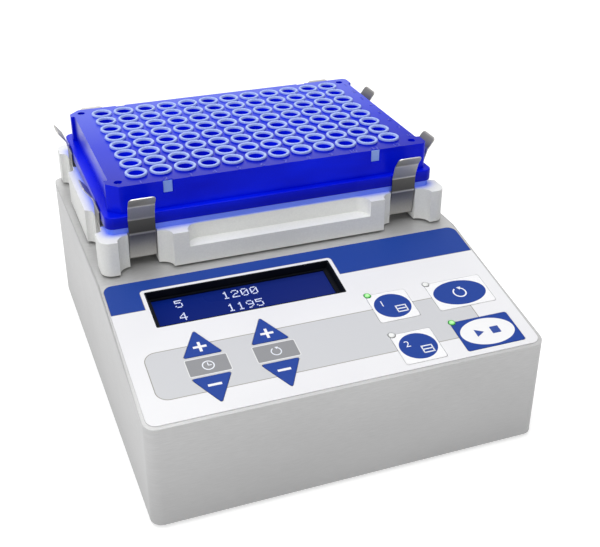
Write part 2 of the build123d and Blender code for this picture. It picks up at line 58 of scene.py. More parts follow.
# Paint: the method of a sum, which adds a Math node; swapped, the socket stands on its right
def sumMethod(operation, swapped=False):
    def method(wire, *others):
        terms = (*others, wire) if swapped else (wire, *others)
        return wire.paint.node("ShaderNodeMath", {"operation": operation}, dict(enumerate(terms)))
    return method


# A socket that can stand in a Python expression
class Wire:
    def __init__(self, paint, socket):
        self.paint = paint
        self.socket = socket

    __add__ = sumMethod("ADD")
    __radd__ = sumMethod("ADD", True)
    __sub__ = sumMethod("SUBTRACT")
    __rsub__ = sumMethod("SUBTRACT", True)
    __mul__ = sumMethod("MULTIPLY")
    __truediv__ = sumMethod("DIVIDE")
    __abs__ = sumMethod("ABSOLUTE")
    atLeast = sumMethod("MAXIMUM")
    atMost = sumMethod("MINIMUM")
    root = sumMethod("SQRT")

    def clamped(self):
        return self.atLeast(0.0).atMost(1.0)

    # Nothing at the first value, one at the second, and between them in between
    def rising(self, first, second):
        return ((self - first) / (second - first)).clamped()


# What the surfaces' textures are made of: a fine grain and a slow cloud, each with its waves a metre,
# stretch, detail and roughness, the cloud's share of the tone, what the grain adds to the surface's
# roughness, and its relief, with depth in metres
even = (1, 1, 1)
layered = (1, 1, 3)
textures = {
    "silver": {"spread": 0.12, "relief": 0.10, "depth": 0.00002},
    "metal": {"grain": (900.0, even, 3.0), "spread": 0.15, "relief": 0.15, "depth": 0.00004},
    "cast": {"grain": (500.0, even, 3.0), "spread": 0.15, "relief": 0.30, "depth": 0.00004},
    "nickel": {"grain": (120.0, even, 3.0), "spread": 0.15, "relief": 0.03, "depth": 0.00004},
    "clip": {"grain": (4200.0, (1, 1, 0.15), 3.0), "spread": 0.12, "relief": 0.05, "depth": 0.00004},
    "plastic": {"grain": (1400.0, even, 4.0, 0.6), "spread": 0.12, "relief": 0.12, "depth": 0.00005,
                "cloud": (30.0, even), "share": 0.7},
    "moulding": {"grain": (1500.0, even, 4.0), "spread": 0.12, "relief": 0.10, "depth": 0.00005,
                 "cloud": (24.0, even), "share": 0.6},
    "mark": {"grain": (1800.0, even), "spread": 0.10, "relief": 0.05, "depth": 0.00004,
             "cloud": (40.0, layered), "share": 0.8},
    "plate": {"grain": (1800.0, even), "spread": 0.06, "relief": 0.02, "depth": 0.00002,
              "cloud": (35.0, layered), "share": 0.8},
    "film": {"grain": (1600.0, even, 3.0), "spread": 0.10, "relief": 0.05, "depth": 0.00003},
    "key": {"grain": (1600.0, even, 3.0), "spread": 0.12, "relief": 0.05, "depth": 0.00003},
}


# One node tree being painted in, with what several finishes share
class Paint:
    def __init__(self, tree):
        self.tree = tree
        tree.nodes.clear()

    def node(self, kind, settings=None, values=None, out=0):
        made = self.tree.nodes.new(kind)
        for name, value in (settings or {}).items():
            if name == "stops":
                ramp = made.color_ramp.elements
                while len(ramp) < len(value):
                    ramp.new(1.0)
                for element, (place, colour) in zip(ramp, value):
                    element.position = place
                    element.color = colour
            else:
                setattr(made, name, value)
        for name, value in (values or {}).items():
            if isinstance(value, Wire):
                self.tree.links.new(value.socket, made.inputs[name])
            else:
                made.inputs[name].default_value = value
        return Wire(self, made.outputs[out]) if made.outputs else None

    def place(self):
        return self.node("ShaderNodeTexCoord", out="Object")

    def axes(self, vector):
        first = self.node("ShaderNodeSeparateXYZ", values={0: vector})
        return [Wire(self, socket) for socket in first.socket.node.outputs]

    def millimetres(self):
        return [axis * 1000 for axis in self.axes(self.place())]

    def facing(self):
        return self.axes(self.node("ShaderNodeNewGeometry", out="Normal"))

    # One on a face that lies level, and nothing on one that stands
    def lying(self):
        return abs(self.facing()[2]).rising(0.6, 0.85)

    # Across the panel, and down its slope from the bend
    def panel(self):
        x, y, z = self.millimetres()
        row = (case["bend"] - y) * cos(case["tilt"]) + (case["top"] - z) * sin(case["tilt"])
        return x, row

    def noise(self, scale, stretch=even, detail=2.0, roughness=0.5):
        vector = self.node("ShaderNodeMapping", values={"Vector": self.place(), "Scale": stretch})
        values = {"Vector": vector, "Scale": scale, "Detail": detail, "Roughness": roughness}
        return self.node("ShaderNodeTexNoise", values=values)

    # A texture's tone, and its grain by itself
    def texture(self, kind):
        made = textures[kind]
        grain = self.noise(*made["grain"])
        if "cloud" not in made:
            return grain, grain
        cloud = self.noise(*made["cloud"])
        return cloud * made["share"] + grain * (1 - made["share"]), grain

    def ramp(self, value, *stops):
        return self.node("ShaderNodeValToRGB", {"stops": stops}, {"Fac": value})

    # Two colours, each held over the same share of the value's ends
    def between(self, value, first, second, hold=0.3):
        return self.ramp(value, (hold, first), (1 - hold, second))

    def mix(self, mask, first, second):
        return self.node("ShaderNodeMix", {"data_type": "RGBA"}, {0: mask, 6: first, 7: second}, 2)

    # How far a point lies inside a rounded rectangle, and less than nothing outside it
    def inRectangle(self, u, v, left, right, low, high, corner):
        across = abs(u - (left + right) / 2) - ((right - left) / 2 - corner)
        along = abs(v - (low + high) / 2) - ((high - low) / 2 - corner)
        over = across.atLeast(0.0)
        past = along.atLeast(0.0)
        return corner - (over * over + past * past).root() - across.atLeast(along).atMost(0.0)

    def inEllipse(self, u, v, middle, halfWidth, halfHeight):
        across = (u - middle[0]) / halfWidth
        along = (v - middle[1]) / halfHeight
        return (1 - (across * across + along * along).root()) * halfHeight

    # A printed edge, as sharp as ink is
    def inked(self, inside, soft=0.07):
        return inside.rising(-soft / 2, soft / 2)

    # The shader; a texture's grain also roughens the surface and stands out on it
    def surface(self, values, kind=None, grain=None):
        if kind:
            made = textures[kind]
            relief = {"Height": grain, "Strength": made["relief"], "Distance": made["depth"]}
            values["Roughness"] = values["Roughness"] + grain * made["spread"]
            values["Normal"] = self.node("ShaderNodeBump", values=relief)
        shader = self.node("ShaderNodeBsdfPrincipled", values=values)
        self.node("ShaderNodeOutputMaterial", values={"Surface": shader})


def newPaint(name):
    material = bpy.data.materials.new(name)
    material.use_nodes = True
    return material, Paint(material.node_tree)


# A colour as a screen shows it, from 0 to 255, made linear
def shade(red, green, blue):
    parts = [value / 255 for value in (red, green, blue)]
    linear = [part / 12.92 if part <= 0.04 else ((part + 0.055) / 1.055) ** 2.4 for part in parts]
    return (*linear, 1.0)


# Camera, at the photograph's place
cameraPlace = {
    "position": (-0.11212, -0.32380, 0.23034),
    "back": (-0.31043, -0.81297, 0.49269),
    "roll": radians(0.328),
    "lens": 60.30,
    "sensor": 36.0,
}


def addCamera(settings):
    data = bpy.data.cameras.new("camera")
    data.lens = settings["lens"]
    data.sensor_width = settings["sensor"]
    back = Vector(settings["back"]).normalized()
    level = Vector((0, 0, 1)).cross(back).normalized()
    upright = back.cross(level)
    across = level * cos(settings["roll"]) + upright * sin(settings["roll"])
    above = upright * cos(settings["roll"]) - level * sin(settings["roll"])
    turn = Matrix((across, above, back)).transposed().to_4x4()
    camera = bpy.data.objects.new("camera", data)
    camera.matrix_world = Matrix.Translation(settings["position"]) @ turn
    scene.collection.objects.link(camera)
    scene.camera = camera


addCamera(cameraPlace)

# Stage: a pale floor that is white to the eye and to gloss, and keeps the shadow
stage = {
    "floorHalf": 6.0,
    "floorTones": ((0.60, 0.60, 0.61, 1), (0.62, 0.62, 0.63, 1)),
    "mottle": 3.0,
    "glow": 0.60,
    "shown": (0.60, 0.60, 0.60, 1),
    "white": (0.45, 0.95),
    "worldLow": 0.16,
    "worldHigh": 0.62,
    "glossLow": 0.30,
    "glossHigh": 0.95,
    "aim": (0, 0, 0.05),
    "lamps": {
        "top": {"at": (-0.22, -0.05, 1.1), "size": 1.0, "power": 7.6},
        "left": {"at": (-1.1, -0.35, 0.55), "size": 0.8, "power": 2.6},
        "front": {"at": (-0.1, -1.2, 0.8), "size": 0.8, "power": 0.9},
        "rear": {"at": (0.25, 1.3, 0.8), "size": 0.9, "power": 3.0},
    },
}


# Whether a ray shows a thing to the eye, straight or by gloss or glass
def seenRay(paint):
    rays = ["Is Camera Ray", "Is Glossy Ray", "Is Transmission Ray"]
    camera, glossy, through = [paint.node("ShaderNodeLightPath", out=ray) for ray in rays]
    return (camera + glossy + through).clamped()


# The floor's glow lifts it to white near the object, and far off it is plain white
def floorWhite(settings):
    material, paint = newPaint("floor_white")
    mottle = paint.between(paint.noise(settings["mottle"]), *settings["floorTones"])
    plain = paint.node("ShaderNodeBsdfDiffuse", values={"Color": mottle})
    shown = paint.node("ShaderNodeBsdfDiffuse", values={"Color": settings["shown"]})
    glow = paint.node("ShaderNodeEmission", values={"Strength": settings["glow"]})
    bright = paint.node("ShaderNodeAddShader", values={0: shown, 1: glow})
    white = paint.node("ShaderNodeEmission", values={"Strength": 1.0})
    x, y = paint.axes(paint.place())[:2]
    far = (x * x + y * y).root().rising(*settings["white"])
    ground = paint.node("ShaderNodeMixShader", values={0: far, 1: bright, 2: white})
    mixed = paint.node("ShaderNodeMixShader", values={0: seenRay(paint), 1: plain, 2: ground})
    paint.node("ShaderNodeOutputMaterial", values={"Surface": mixed})
    return material


def addFloor(settings):
    build = bmesh.new()
    half = settings["floorHalf"]
    corners = [(-half, -half), (half, -half), (half, half), (-half, half)]
    build.faces.new([build.verts.new((x, y, 0)) for x, y in corners])
    mesh = bpy.data.meshes.new("floor")
    build.to_mesh(mesh)
    build.free()
    mesh.materials.append(floorWhite(settings))
    floor = bpy.data.objects.new("floor", mesh)
    scene.collection.objects.link(floor)


# Soft light that grows towards the top, brighter in gloss, and white to the eye
def addWorld(settings):
    world = bpy.data.worlds.new("studio")
    scene.world = world
    world.use_nodes = True
    paint = Paint(world.node_tree)
    height = paint.axes(paint.node("ShaderNodeTexCoord", out="Generated"))[2].clamped()
    gloss = paint.node("ShaderNodeLightPath", out="Is Glossy Ray")
    soft = settings["worldLow"] + height * (settings["worldHigh"] - settings["worldLow"])
    sheen = settings["glossLow"] + height * (settings["glossHigh"] - settings["glossLow"])
    lit = {"Color": (1, 1, 1, 1), "Strength": soft + (sheen - soft) * gloss}
    light = paint.node("ShaderNodeBackground", values=lit)
    white = paint.node("ShaderNodeBackground", values={"Color": (1, 1, 1, 1), "Strength": 1.0})
    camera = paint.node("ShaderNodeLightPath", out="Is Camera Ray")
    mixed = paint.node("ShaderNodeMixShader", values={0: camera, 1: light, 2: white})
    paint.node("ShaderNodeOutputWorld", values={"Surface": mixed})


def addLights(settings):
    for name, lamp in settings["lamps"].items():
        data = bpy.data.lights.new(f"light_{name}", "AREA")
        data.size = lamp["size"]
        data.energy = lamp["power"]
        light = bpy.data.objects.new(f"light_{name}", data)
        light.location = lamp["at"]
        aim = Vector(settings["aim"]) - light.location
        light.rotation_euler = aim.to_track_quat("-Z", "Y").to_euler()
        scene.collection.objects.link(light)


addFloor(stage)
addWorld(stage)
addLights(stage)
print("camera and stage set")


# Finishes
silver = {
    "grain": (260, 3400),
    "cloud": (22.0, (1, 1, 2)),
    "cloudShare": 0.4,
    "tones": ((0.50, 0.50, 0.50, 1), (0.60, 0.60, 0.60, 1)),
    # The foot tone, with its reach and share: painted shade, a darker grey towards the bottom of the case
    "foot": (0.36, 0.36, 0.36, 1),
    "footShadeReach": 42.0,
    "footShadeShare": 0.55,
    "metallic": 0.55,
    "roughness": 0.42,
}


# Brushed: the strokes run level on the walls and from side to side on the top, and painted shade darkens
# the case towards its foot
def housingSilverWithPaintedShade(settings):
    material, paint = newPaint("housing_silver")
    along, across = settings["grain"]
    level = paint.noise(1.0, (along, across, along))
    upright = paint.noise(1.0, (along, along, across))
    grain = upright + (level - upright) * paint.lying()
    share = settings["cloudShare"]
    tone = grain * (1 - share) + paint.noise(*settings["cloud"]) * share
    # Painted shade: darker towards the foot of the case
    low = paint.millimetres()[2].rising(settings["footShadeReach"], 0) * settings["footShadeShare"]
    paint.surface({
        "Base Color": paint.mix(low, paint.between(tone, *settings["tones"]), settings["foot"]),
        "Metallic": settings["metallic"],
        "Roughness": settings["roughness"],
    }, "silver", grain)
    return material


def plainMetal(name, dark, light, metallic, roughness, kind="metal"):
    material, paint = newPaint(name)
    tone, grain = paint.texture(kind)
    paint.surface({
        "Base Color": paint.between(tone, dark, light),
        "Metallic": metallic,
        "Roughness": roughness,
    }, kind, grain)
    return material


def plainPlastic(name, dark, light, roughness, gloss=0.5):
    material, paint = newPaint(name)
    tone, grain = paint.texture("plastic")
    paint.surface({
        "Base Color": paint.between(tone, dark, light, 0.35),
        "Roughness": roughness,
        "Specular IOR Level": gloss,
    }, "plastic", grain)
    return material


def plateBlue(name, dark, light, coat, roughness=0.3, coatRoughness=0.15):
    material, paint = newPaint(name)
    tone, grain = paint.texture("mark")
    paint.surface({
        "Base Color": paint.between(tone, dark, light),
        "Roughness": roughness,
        "Coat Weight": coat,
        "Coat Roughness": coatRoughness,
    }, "mark", grain)
    return material


# Spring steel: each flat of the strip has its own painted tone of reflected light, with a painted
# highlight line at each bend
steel = {
    # Painted reflections: levels in millimetres, each with the tone of light the steel reflects there
    "tones": (
        (56.5, 0.66), (59.5, 0.50), (66.2, 0.17), (66.8, 0.50), (67.4, 0.06), (72.1, 0.09),
        (72.6, 0.55), (73.2, 0.40), (77.5, 0.56), (78.2, 0.75), (78.9, 0.34), (81.8, 0.48),
        (82.3, 0.80),
    ),
    "tint": (1.0, 0.98, 0.94),
    "grainTone": (0.12, 0.12, 0.115, 1),
    "grainShare": 0.3,
    "roughness": 0.32,
}


def clipSteelWithPaintedSheen(settings):
    material, paint = newPaint("clip_steel")
    low, high = settings["tones"][0][0], settings["tones"][-1][0]
    stops = []
    for z, tone in settings["tones"]:
        colour = [tone * part for part in settings["tint"]]
        stops.append(((z - low) / (high - low), (*colour, 1)))
    # Painted reflections and highlights, banded by height along the strip
    paintedSheen = paint.ramp(paint.millimetres()[2].rising(low, high), *stops)
    grain = paint.texture("clip")[1]
    paint.surface({
        "Base Color": paint.mix(grain * settings["grainShare"], paintedSheen, settings["grainTone"]),
        "Metallic": 1.0,
        "Roughness": settings["roughness"],
    }, "clip", grain)
    return material


# White moulding, with the plate's blue light painted on round the seat, as a blue tint and a faint glow
moulding = {
    "seat": (62.9, 41.7),
    "seatCorner": 2.0,
    # From the reach to the light's strength: the plate's blue light painted on the seat, where it falls,
    # its tint and its glow
    "reach": 4.6,
    "levels": (66.6, 67.2),
    "paintedGlowShare": 0.95,
    "tones": (shade(230, 231, 229), shade(241, 242, 239)),
    "tint": shade(66, 112, 250),
    "light": shade(70, 110, 250),
    "paintedGlowStrength": 0.16,
    "roughness": 0.42,
}


def holderWhiteWithPaintedGlow(settings):
    material, paint = newPaint("holder_white")
    x, y, z = paint.millimetres()
    halfLength, halfWidth = settings["seat"]
    sides = (-halfLength, halfLength, plateY - halfWidth, plateY + halfWidth)
    inside = paint.inRectangle(x, y, *sides, settings["seatCorner"])
    # Painted light: the plate's blue, falling near the seat's edge, in the colour and as a glow
    near = inside.rising(-settings["reach"], 0) * inside.rising(1, 0)
    glow = near * near * z.rising(*settings["levels"]) * settings["paintedGlowShare"]
    tone, grain = paint.texture("moulding")
    white = paint.between(tone, *settings["tones"], 0.35)
    paint.surface({
        "Base Color": paint.mix(glow, white, settings["tint"]),
        "Emission Color": paint.mix(glow, (0, 0, 0, 1), settings["light"]),
        "Emission Strength": settings["paintedGlowStrength"],
        "Roughness": settings["roughness"],
    }, "moulding", grain)
    return material


finishes = {
    "housing": housingSilverWithPaintedShade(silver),
    "holder": holderWhiteWithPaintedGlow(moulding),
    "clip": clipSteelWithPaintedSheen(steel),
    "base": plainMetal("base_steel", (0.35, 0.36, 0.37, 1), (0.5, 0.51, 0.52, 1), 0.9, 0.35),
    "steel": plainMetal("plain_steel", (0.5, 0.5, 0.5, 1), (0.65, 0.65, 0.65, 1), 1.0, 0.22),
    "brass": plainMetal("post_brass", (0.55, 0.40, 0.14, 1), (0.72, 0.55, 0.22, 1), 1.0, 0.28),
    "cast": plainMetal("cast_aluminium", (0.42, 0.43, 0.44, 1), (0.6, 0.6, 0.61, 1), 0.8, 0.4,
                       "cast"),
    "port": plainMetal("port_nickel", (0.46, 0.46, 0.45, 1), (0.56, 0.56, 0.55, 1), 1.0, 0.26,
                       "nickel"),
    "rubber": plainPlastic("foot_rubber", (0.012, 0.012, 0.013, 1), (0.03, 0.03, 0.032, 1), 0.7),
    "black": plainPlastic("display_black", (0.003, 0.004, 0.007, 1), (0.006, 0.007, 0.011, 1),
                          0.5, gloss=0.12),
    "part": plainPlastic("part_black", (0.012, 0.012, 0.014, 1), (0.028, 0.028, 0.03, 1), 0.45),
    "board": plainPlastic("board_green", (0.006, 0.10, 0.03, 1), (0.02, 0.18, 0.06, 1), 0.35),
    "mark": plainPlastic("mark_white", shade(226, 230, 240), shade(240, 243, 250), 0.5),
    "plateMark": plateBlue("plate_deck_blue", shade(26, 40, 186), shade(42, 58, 202), 0.1),
    "plateTab": plateBlue("plate_tab_blue", shade(120, 160, 245), shade(150, 182, 250), 0.3),
}
print("finishes made:", len(finishes))


# Drawing: every outline is in millimetres, and a place turns it into space
def flat(u, v, level):
    return Vector((u, v, level))


# Across the panel, down its slope, and outwards from its face
def onPanel(x, row, level):
    slope = case["tilt"]
    y = case["bend"] - row * cos(slope) - level * sin(slope)
    return Vector((x, y, case["top"] - row * sin(slope) + level * cos(slope)))


def onRear(x, z, level):
    return Vector((x, case["rear"] + level, z))


# A line with its corners rounded, each by the radius given for it
def rounded(points, radii, steps=8, closed=True):
    line = []
    count = len(points)
    for index, point in enumerate(points):
        corner = Vector(point)
        radius = radii[index] if isinstance(radii, (list, tuple)) else radii
        if not radius or not closed and index in (0, count - 1):
            line.append(corner)
            continue
        before = (Vector(points[index - 1]) - corner).normalized()
        after = (Vector(points[(index + 1) % count]) - corner).normalized()
        half = before.angle(after) / 2
        centre = corner + (before + after).normalized() * radius / sin(half)
        start = corner + before * radius / tan(half) - centre
        end = corner + after * radius / tan(half) - centre
        sweep = pi - 2 * half
        for step in range(steps + 1):
            share = step / steps
            turned = start * sin((1 - share) * sweep) + end * sin(share * sweep)
            line.append(centre + turned / sin(sweep))
    return line


def rectangle(middleU, middleV, length, width, corner=0.0, steps=8):
    u, v = length / 2, width / 2
    points = [(middleU + su * u, middleV + sv * v) for su, sv in ((-1, -1), (1, -1), (1, 1), (-1, 1))]
    return rounded(points, corner, steps)


def circle(middleU, middleV, radius, sides=32):
    turns = [2 * pi * side / sides for side in range(sides)]
    return [Vector((middleU + radius * cos(turn), middleV + radius * sin(turn))) for turn in turns]


# A wall of one thickness or a block, between two levels, with any holes through it
def prism(build, outline, low, high, place=flat, holes=()):
    rings = []
    for line in (outline, *holes):
        pair = [[build.verts.new(place(u, v, level)) for u, v in line] for level in (low, high)]
        bottom, top = pair
        for index in range(len(line)):
            ahead = (index + 1) % len(line)
            build.faces.new((bottom[index], bottom[ahead], top[ahead], top[index]))
        rings.append(pair)
    for side in (0, 1):
        if not holes:
            build.faces.new(rings[0][side])
            continue
        edges = []
        for pair in rings:
            loop = pair[side]
            edges += [build.edges.get((loop[index - 1], loop[index])) for index in range(len(loop))]
        bmesh.ops.triangle_fill(build, use_beauty=True, edges=edges)


# A round shape, given as radius and level from one end to the other
def turned(build, profile, middle=(0, 0), place=flat, sides=32):
    rings = []
    for radius, level in profile:
        points = circle(*middle, radius, sides) if radius else [Vector(middle)]
        rings.append([build.verts.new(place(u, v, level)) for u, v in points])
    for lower, upper in zip(rings, rings[1:]):
        for index in range(sides):
            ahead = (index + 1) % sides
            loop = [lower[index % len(lower)], lower[ahead % len(lower)]]
            loop += [upper[ahead % len(upper)], upper[index % len(upper)]]
            corners = list(dict.fromkeys(loop))
            if len(corners) > 2:
                build.faces.new(corners)


# Edges bent by more degrees than sharp stay sharp, and points nearer than a weld, in millimetres, join
meshing = {"sharp": 32.0, "weld": 0.0005, "solidWeld": 0.002, "solidFlat": 1.0, "repeatWeld": 0.001}


# A CAD node's shape, to be finished finer than its solid is
def nodeShape(name):
    build = bmesh.new()
    build.from_mesh(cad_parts[name].data)
    build.transform(Matrix.Scale(1000, 4))
    bmesh.ops.remove_doubles(build, verts=build.verts, dist=meshing["solidWeld"])
    angle = radians(meshing["solidFlat"])
    bmesh.ops.dissolve_limit(build, angle_limit=angle, verts=build.verts, edges=build.edges[:])
    return build


def toMesh(name, build, sharp=meshing["sharp"]):
    bmesh.ops.remove_doubles(build, verts=build.verts, dist=meshing["weld"])
    bmesh.ops.recalc_face_normals(build, faces=build.faces)
    build.transform(Matrix.Scale(0.001, 4))
    mesh = bpy.data.meshes.new(name)
    build.to_mesh(mesh)
    build.free()
    mesh.shade_smooth()
    mesh.set_sharp_from_angle(angle=radians(sharp))
    return mesh


def addObject(name, mesh):
    piece = bpy.data.objects.new(name, mesh)
    scene.collection.objects.link(piece)
    return piece


def addMesh(name, build, sharp=meshing["sharp"]):
    return addObject(name, toMesh(name, build, sharp))


# The mesh that a piece's modifiers come to, in place of them
def settle(piece):
    bpy.context.view_layer.update()
    seen = piece.evaluated_get(bpy.context.evaluated_depsgraph_get())
    mesh = bpy.data.meshes.new_from_object(seen)
    piece.modifiers.clear()
    piece.data = mesh
    return piece


def soften(piece, width, segments=2, angle=meshing["sharp"]):
    bevel = piece.modifiers.new("edges", "BEVEL")
    bevel.width = width / 1000
    bevel.segments = segments
    bevel.limit_method = "ANGLE"
    bevel.angle_limit = radians(angle)
    bevel.use_clamp_overlap = True
    bevel.harden_normals = True
    return piece


# Gives a piece its finish, and says what it rides on and stands for
def dress(piece, finish, body, slotName, *nodes):
    if finish:
        piece.data.materials.clear()
        piece.data.materials.append(finish)
    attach(piece, body)
    if nodes:
        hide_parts(*nodes)
    return piece


# Repeats: a tree that stands one unit on each point of a mesh
def repeatTree(name):
    tree = bpy.data.node_groups.new(name, "GeometryNodeTree")
    kinds = {
        "Points": "NodeSocketGeometry",
        "Unit": "NodeSocketObject",
        "Size": "NodeSocketFloat",
        "Weld": "NodeSocketFloat",
        "Finish": "NodeSocketMaterial",
    }
    for title, kind in kinds.items():
        tree.interface.new_socket(title, in_out="INPUT", socket_type=kind)
    tree.interface.new_socket("Pieces", in_out="OUTPUT", socket_type="NodeSocketGeometry")
    entry = tree.nodes.new("NodeGroupInput")
    unit = tree.nodes.new("GeometryNodeObjectInfo")
    stand = tree.nodes.new("GeometryNodeInstanceOnPoints")
    real = tree.nodes.new("GeometryNodeRealizeInstances")
    weld = tree.nodes.new("GeometryNodeMergeByDistance")
    finish = tree.nodes.new("GeometryNodeSetMaterial")
    leave = tree.nodes.new("NodeGroupOutput")
    links = [
        (entry.outputs["Points"], stand.inputs["Points"]),
        (entry.outputs["Unit"], unit.inputs["Object"]),
        (unit.outputs["Geometry"], stand.inputs["Instance"]),
        (entry.outputs["Size"], stand.inputs["Scale"]),
        (stand.outputs["Instances"], real.inputs["Geometry"]),
        (real.outputs["Geometry"], weld.inputs["Geometry"]),
        (entry.outputs["Weld"], weld.inputs["Distance"]),
        (weld.outputs["Geometry"], finish.inputs["Geometry"]),
        (entry.outputs["Finish"], finish.inputs["Material"]),
        (finish.outputs["Geometry"], leave.inputs["Pieces"]),
    ]
    for start, end in links:
        tree.links.new(start, end)
    return tree


stamp = repeatTree("stand_on_points")


# Stands a unit, drawn about the origin, on each of the places
def repeat(name, unitBuild, places, finish, sharp=meshing["sharp"]):
    unit = addMesh(f"{name}_unit", unitBuild, sharp)
    points = bpy.data.meshes.new(name)
    points.from_pydata([Vector(place) / 1000 for place in places], [], [])
    piece = addObject(name, points)
    modifier = piece.modifiers.new("repeat", "NODES")
    modifier.node_group = stamp
    weld = meshing["repeatWeld"] / 1000
    values = {"Unit": unit, "Size": 1.0, "Weld": weld, "Finish": finish}
    for socket in stamp.interface.items_tree:
        if socket.in_out == "INPUT" and socket.name in values:
            modifier[socket.identifier] = values[socket.name]
    settle(piece)
    bpy.data.objects.remove(unit)
    return piece


# Cuts a closed shape out of a piece
def carve(piece, build):
    cutter = addMesh("cutter", build)
    cut = piece.modifiers.new("cut", "BOOLEAN")
    cut.operation = "DIFFERENCE"
    cut.solver = "EXACT"
    cut.object = cutter
    settle(piece)
    bpy.data.objects.remove(cutter)
    return piece


# Housing: the wedge-fronted case, with its panel let in
housing = {
    "cornerSteps": 10,
    "edgeSteps": 3,
    "panelRecess": (0.0, 35.3, 138.1, 67.1, 3.35),
    "recessDepth": 0.4,
    "displayWindow": (-21.0, 17.5, 69.2, 18.6),
    "windowDepth": 8.0,
    "topHoles": ((0.0, 34.93, 9.0), (-42.0, 54.93, 8.5), (42.0, 54.93, 8.5)),
    "sockets": ((44.0, 18.0, 11.1, 11.1), (8.0, 18.0, 17.1, 8.5)),
    "holeDepth": 6.0,
    "past": 3.0,
    "sharp": 25.0,
}


# The case's outer form, or its hollow when it is drawn inset; gives back its rims
def wedge(build, inset, drop, bottom):
    half = case["width"] / 2 - inset
    front = case["front"] + inset
    rear = case["rear"] - inset
    bend = case["bend"] + drop * tan(case["tilt"] / 2)
    corner = max(case["corner"] - inset, 1.0)
    points = [(-half, front), (half, front), (half, bend), (half, rear), (-half, rear), (-half, bend)]
    line = rounded(points, [corner, corner, 0, corner, corner, 0], housing["cornerSteps"])
    top = case["top"] - drop
    lower = [build.verts.new((x, y, bottom)) for x, y in line]
    upper = [build.verts.new((x, y, top + min(0.0, y - bend) * tan(case["tilt"]))) for x, y in line]
    for index in range(len(line)):
        build.faces.new((lower[index - 1], lower[index], upper[index], upper[index - 1]))
    build.faces.new(lower)
    build.faces.new([vert for vert in upper if vert.co.y < bend + 0.001])
    build.faces.new([vert for vert in upper if vert.co.y > bend - 0.001])
    rims = [[ring[index - 1], ring[index]] for ring in (lower, upper) for index in range(len(ring))]
    return [build.edges.get(pair) for pair in rims]


def addHousing(settings):
    past = settings["past"]
    build = bmesh.new()
    rims = wedge(build, 0.0, 0.0, case["foot"])
    bmesh.ops.bevel(build, geom=rims, offset=case["edge"], offset_type="OFFSET",
                    segments=settings["edgeSteps"], profile=0.5, affect="EDGES")
    shell = addMesh("housing_case", build)
    hollow = bmesh.new()
    wedge(hollow, case["wall"], case["wall"], case["foot"] - past)
    carve(shell, hollow)
    recess = bmesh.new()
    prism(recess, rectangle(*settings["panelRecess"]), -settings["recessDepth"], past, onPanel)
    carve(shell, recess)
    cuts = bmesh.new()
    prism(cuts, rectangle(*settings["displayWindow"]), -settings["windowDepth"], past, onPanel)
    for hole in settings["topHoles"]:
        prism(cuts, circle(*hole), case["top"] - settings["holeDepth"], case["top"] + past)
    for socket in settings["sockets"]:
        prism(cuts, rectangle(*socket), -settings["holeDepth"], past, onRear)
    carve(shell, cuts)
    shell.data.shade_smooth()
    shell.data.set_sharp_from_angle(angle=radians(settings["sharp"]))
    shell.modifiers.new("shading", "WEIGHTED_NORMAL").keep_sharp = True
    dress(shell, finishes["housing"], "housing", "housing_silver", "case_shell")


addHousing(housing)
print("housing made")

# Panel: printed membrane with windows, and the keys that stand in them
panel = {
    "outline": (0.0, 35.3, 138.0, 67.0, 3.3),
    "low": -0.4,
    "face": 0.2,
    "windowCorner": 0.5,
    "lampRadius": 1.35,
    "lampInset": 0.9,
    "lampGap": 0.1,
    "lampLow": -9.6,
    "biteSteps": 12,
    "arrowHalf": 6.7,
    "arrowHeight": 12.0,
    "arrowMiddle": 4.0,
    "arrowCorner": 0.6,
    "widths": {"preset": 15.2, "wide": 22.3},
    "keyHeight": 14.5,
    "keyCorner": 0.9,
    "cornerSteps": 5,
    "keyGap": 0.15,
    "keyLow": 0.0,
    "keyTop": 0.3,
    "keyEdge": 0.1,
    "stem": 3.2,
    "stemLow": -4.2,
    "stemTop": -0.001,
}
keys = {
    "key_time_up": ("up", -44.3, 43.4),
    "key_time_down": ("down", -44.3, 53.1),
    "key_mix_up": ("up", -20.9, 43.4),
    "key_mix_down": ("down", -20.9, 53.1),
    "key_preset_one": ("preset", 26.5, 38.1),
    "key_preset_two": ("preset", 26.5, 59.2),
    "key_short_mix": ("wide", 53.1, 38.1),
    "key_start_stop": ("wide", 53.1, 59.2),
}
ink = {
    "white": shade(243, 243, 244),
    "blue": shade(14, 60, 150),
    "band": shade(206, 207, 210),
    "plate": shade(146, 147, 150),
    "plateEdge": shade(232, 232, 232),
    "line": shade(150, 146, 138),
    "film": (shade(232, 232, 235), shade(238, 238, 240)),
    "filmCloud": 20.0,
    "roughness": {"film": 0.42, "key": 0.40},
    "gloss": 0.28,
    "paler": 1.05,
    "header": (-68.8, 68.8, 1.8, 30.0, 3.4),
    "headerFoot": 17.0,
    "border": (-57.1, 15.0, 7.0, 40.0, 1.6),
    "bandZone": (-63.2, 90.0, 38.2, 59.3, 4.0),
    "bandEnd": 53.5,
    "plates": ((-50.9, -37.0), (-27.9, -13.3)),
    "plateRows": (44.6, 52.0),
    "plateCorner": 0.4,
    "lineWidth": 0.28,
    "headerLine": 0.168,
    "signHalf": 2.3,
    "signWide": 0.5,
    "signCorner": 0.05,
    "ovals": {"preset": (6.8, 6.1), "wide": (10.2, 6.3)},
}


